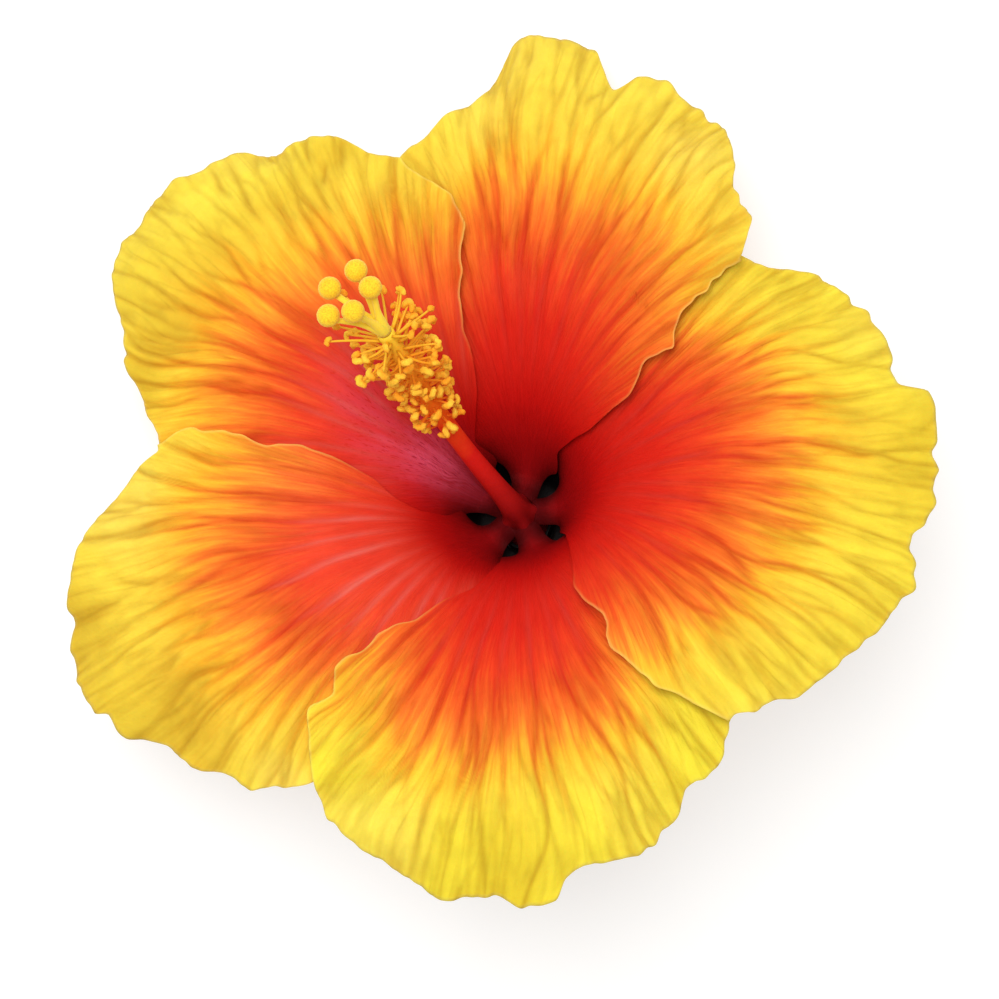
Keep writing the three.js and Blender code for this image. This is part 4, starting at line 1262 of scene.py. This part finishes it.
class HIBISCUS_OT_epicalyx(bpy.types.Operator):
    """Build the ring of narrow bracts under the calyx"""
    bl_idname = "hibiscus.epicalyx"
    bl_label = "Epicalyx"

    def execute(self, context):
        looks = context.scene.hibiscus.greens
        ring, sides = dense([*EPICALYX_RING, EPICALYX_RING[0]])[:-1], 72
        rings = about_axis(ring[:, :1], turns(sides), ring[:, 1:])
        quads = cells(len(ring) + 1, sides, True) % (len(ring) * sides)
        parts, ribs = [(rings.reshape(-1, 3), [quads])], [np.zeros(len(ring) * sides)]
        for number in range(BRACT_COUNT):
            middle, midrib = bract(number)
            points, faces, source, _ = shell(middle, np.full(middle.shape[:2], looks.bract / MM))
            parts.append((points, faces))
            ribs.append(0.6 * midrib.ravel()[source])
        points, faces = joined(parts)
        material = green_material(looks, "bract, downy green", looks.bract_deep, looks.bract_light,
                                  looks.bract_deep)
        add_piece("epicalyx_fine", points, faces, material, ["epicalyx"],
                  {"rib": np.concatenate(ribs), "inner": np.zeros(len(points))})
        return {"FINISHED"}


class HIBISCUS_OT_stalk(bpy.types.Operator):
    """Build the short cut stalk and the receptacle"""
    bl_idname = "hibiscus.stalk"
    bl_label = "Stalk"

    def execute(self, context):
        looks = context.scene.hibiscus.greens
        points, faces = turned(dense(STALK_PROFILE), 60, ridges=9, ridge_height=0.02)
        radius = np.hypot(points[:, 0], points[:, 1])
        turn = np.arctan2(points[:, 1], points[:, 0])
        flow = np.stack([turn * 1.7, points[:, 2], 0 * turn], -1)
        rind = np.where(points[:, 2] < -23.8, smooth(1.3, 1.6, radius), 1)
        add_piece("stalk_fine", points, faces, stalk_material(looks), ["stalk"],
                  {"flow": flow, "rind": rind, "inner": smooth(-12.1, -11.7, points[:, 2])})
        return {"FINISHED"}


class HIBISCUS_OT_stage(bpy.types.Operator):
    """Set the floor, the soft light and the camera"""
    bl_idname = "hibiscus.stage"
    bl_label = "Stage"

    def execute(self, context):
        stage = context.scene.hibiscus.stage
        scene = context.scene
        turn = leaning(REST_TOWARD, REST_LEAN) @ leaning(CAMERA_TOWARD, CAMERA_LEAN).T

        corners = [(FLOOR_REACH * x, FLOOR_REACH * y, 0)
                   for x, y in ((-1, -1), (1, -1), (1, 1), (-1, 1))]
        mesh = bpy.data.meshes.new("floor")
        mesh.from_pydata(corners, [], [(0, 1, 2, 3)])
        mesh.materials.append(card_material(stage.floor, stage.glow))
        floor = bpy.data.objects.new("floor", mesh)
        scene.collection.objects.link(floor)

        world = bpy.data.worlds.new("soft white room")
        world.use_nodes = True
        background = world.node_tree.nodes["Background"]
        background.inputs["Color"].default_value = (1, 1, 1, 1)
        background.inputs["Strength"].default_value = stage.sky
        scene.world = world

        # a large soft light from beyond the top of the view
        way = turn @ unit(np.array(KEY_WAY))
        light = bpy.data.lights.new("key", "AREA")
        light.shape = "DISK"
        light.size = KEY_SIZE
        light.energy = stage.key
        key = bpy.data.objects.new("key", light)
        facing = Vector(way).to_track_quat("Z", "Y").to_matrix().to_4x4()
        key.matrix_world = Matrix.Translation(Vector(way * KEY_DISTANCE)) @ facing
        scene.collection.objects.link(key)

        data = bpy.data.cameras.new("camera")
        data.lens = CAMERA_LENS
        data.sensor_width = CAMERA_SENSOR
        data.clip_start, data.clip_end = 0.01, 20
        camera = bpy.data.objects.new("camera", data)
        place = Matrix.Translation(Vector(resting(CAMERA_PLACE)))
        camera.matrix_world = place @ Matrix(turn.tolist()).to_4x4()
        scene.collection.objects.link(camera)
        scene.camera = camera
        scene.view_settings.view_transform = "Standard"
        scene.view_settings.look = "None"
        return {"FINISHED"}


class HIBISCUS_PT_flower(bpy.types.Panel):
    """Lists the flower's pieces in the sidebar"""
    bl_idname = "HIBISCUS_PT_flower"
    bl_label = "Hibiscus"
    bl_space_type = "VIEW_3D"
    bl_region_type = "UI"
    bl_category = "Hibiscus"

    def draw(self, context):
        for operator in OPERATORS:
            self.layout.operator(operator.bl_idname)
        settings = context.scene.hibiscus
        for group in (settings.petals, settings.column, settings.greens, settings.stage):
            box = self.layout.box()
            for key in group.__annotations__:
                box.prop(group, key)


OPERATORS = (HIBISCUS_OT_petals, HIBISCUS_OT_column, HIBISCUS_OT_pistil, HIBISCUS_OT_calyx,
             HIBISCUS_OT_epicalyx, HIBISCUS_OT_stalk, HIBISCUS_OT_stage)
CLASSES = (HibiscusPetalSettings, HibiscusColumnSettings, HibiscusGreenSettings,
           HibiscusStageSettings, HibiscusSettings, *OPERATORS, HIBISCUS_PT_flower)


def register():
    for cls in CLASSES:
        bpy.utils.register_class(cls)
    bpy.types.Scene.hibiscus = PointerProperty(type=HibiscusSettings)


def unregister():
    del bpy.types.Scene.hibiscus
    for cls in reversed(CLASSES):
        bpy.utils.unregister_class(cls)


def main():
    register()
    bpy.ops.hibiscus.petals()
    bpy.ops.hibiscus.column()
    bpy.ops.hibiscus.pistil()
    bpy.ops.hibiscus.calyx()
    bpy.ops.hibiscus.epicalyx()
    bpy.ops.hibiscus.stalk()
    bpy.ops.hibiscus.stage()


if __name__ == "__main__":
    main()
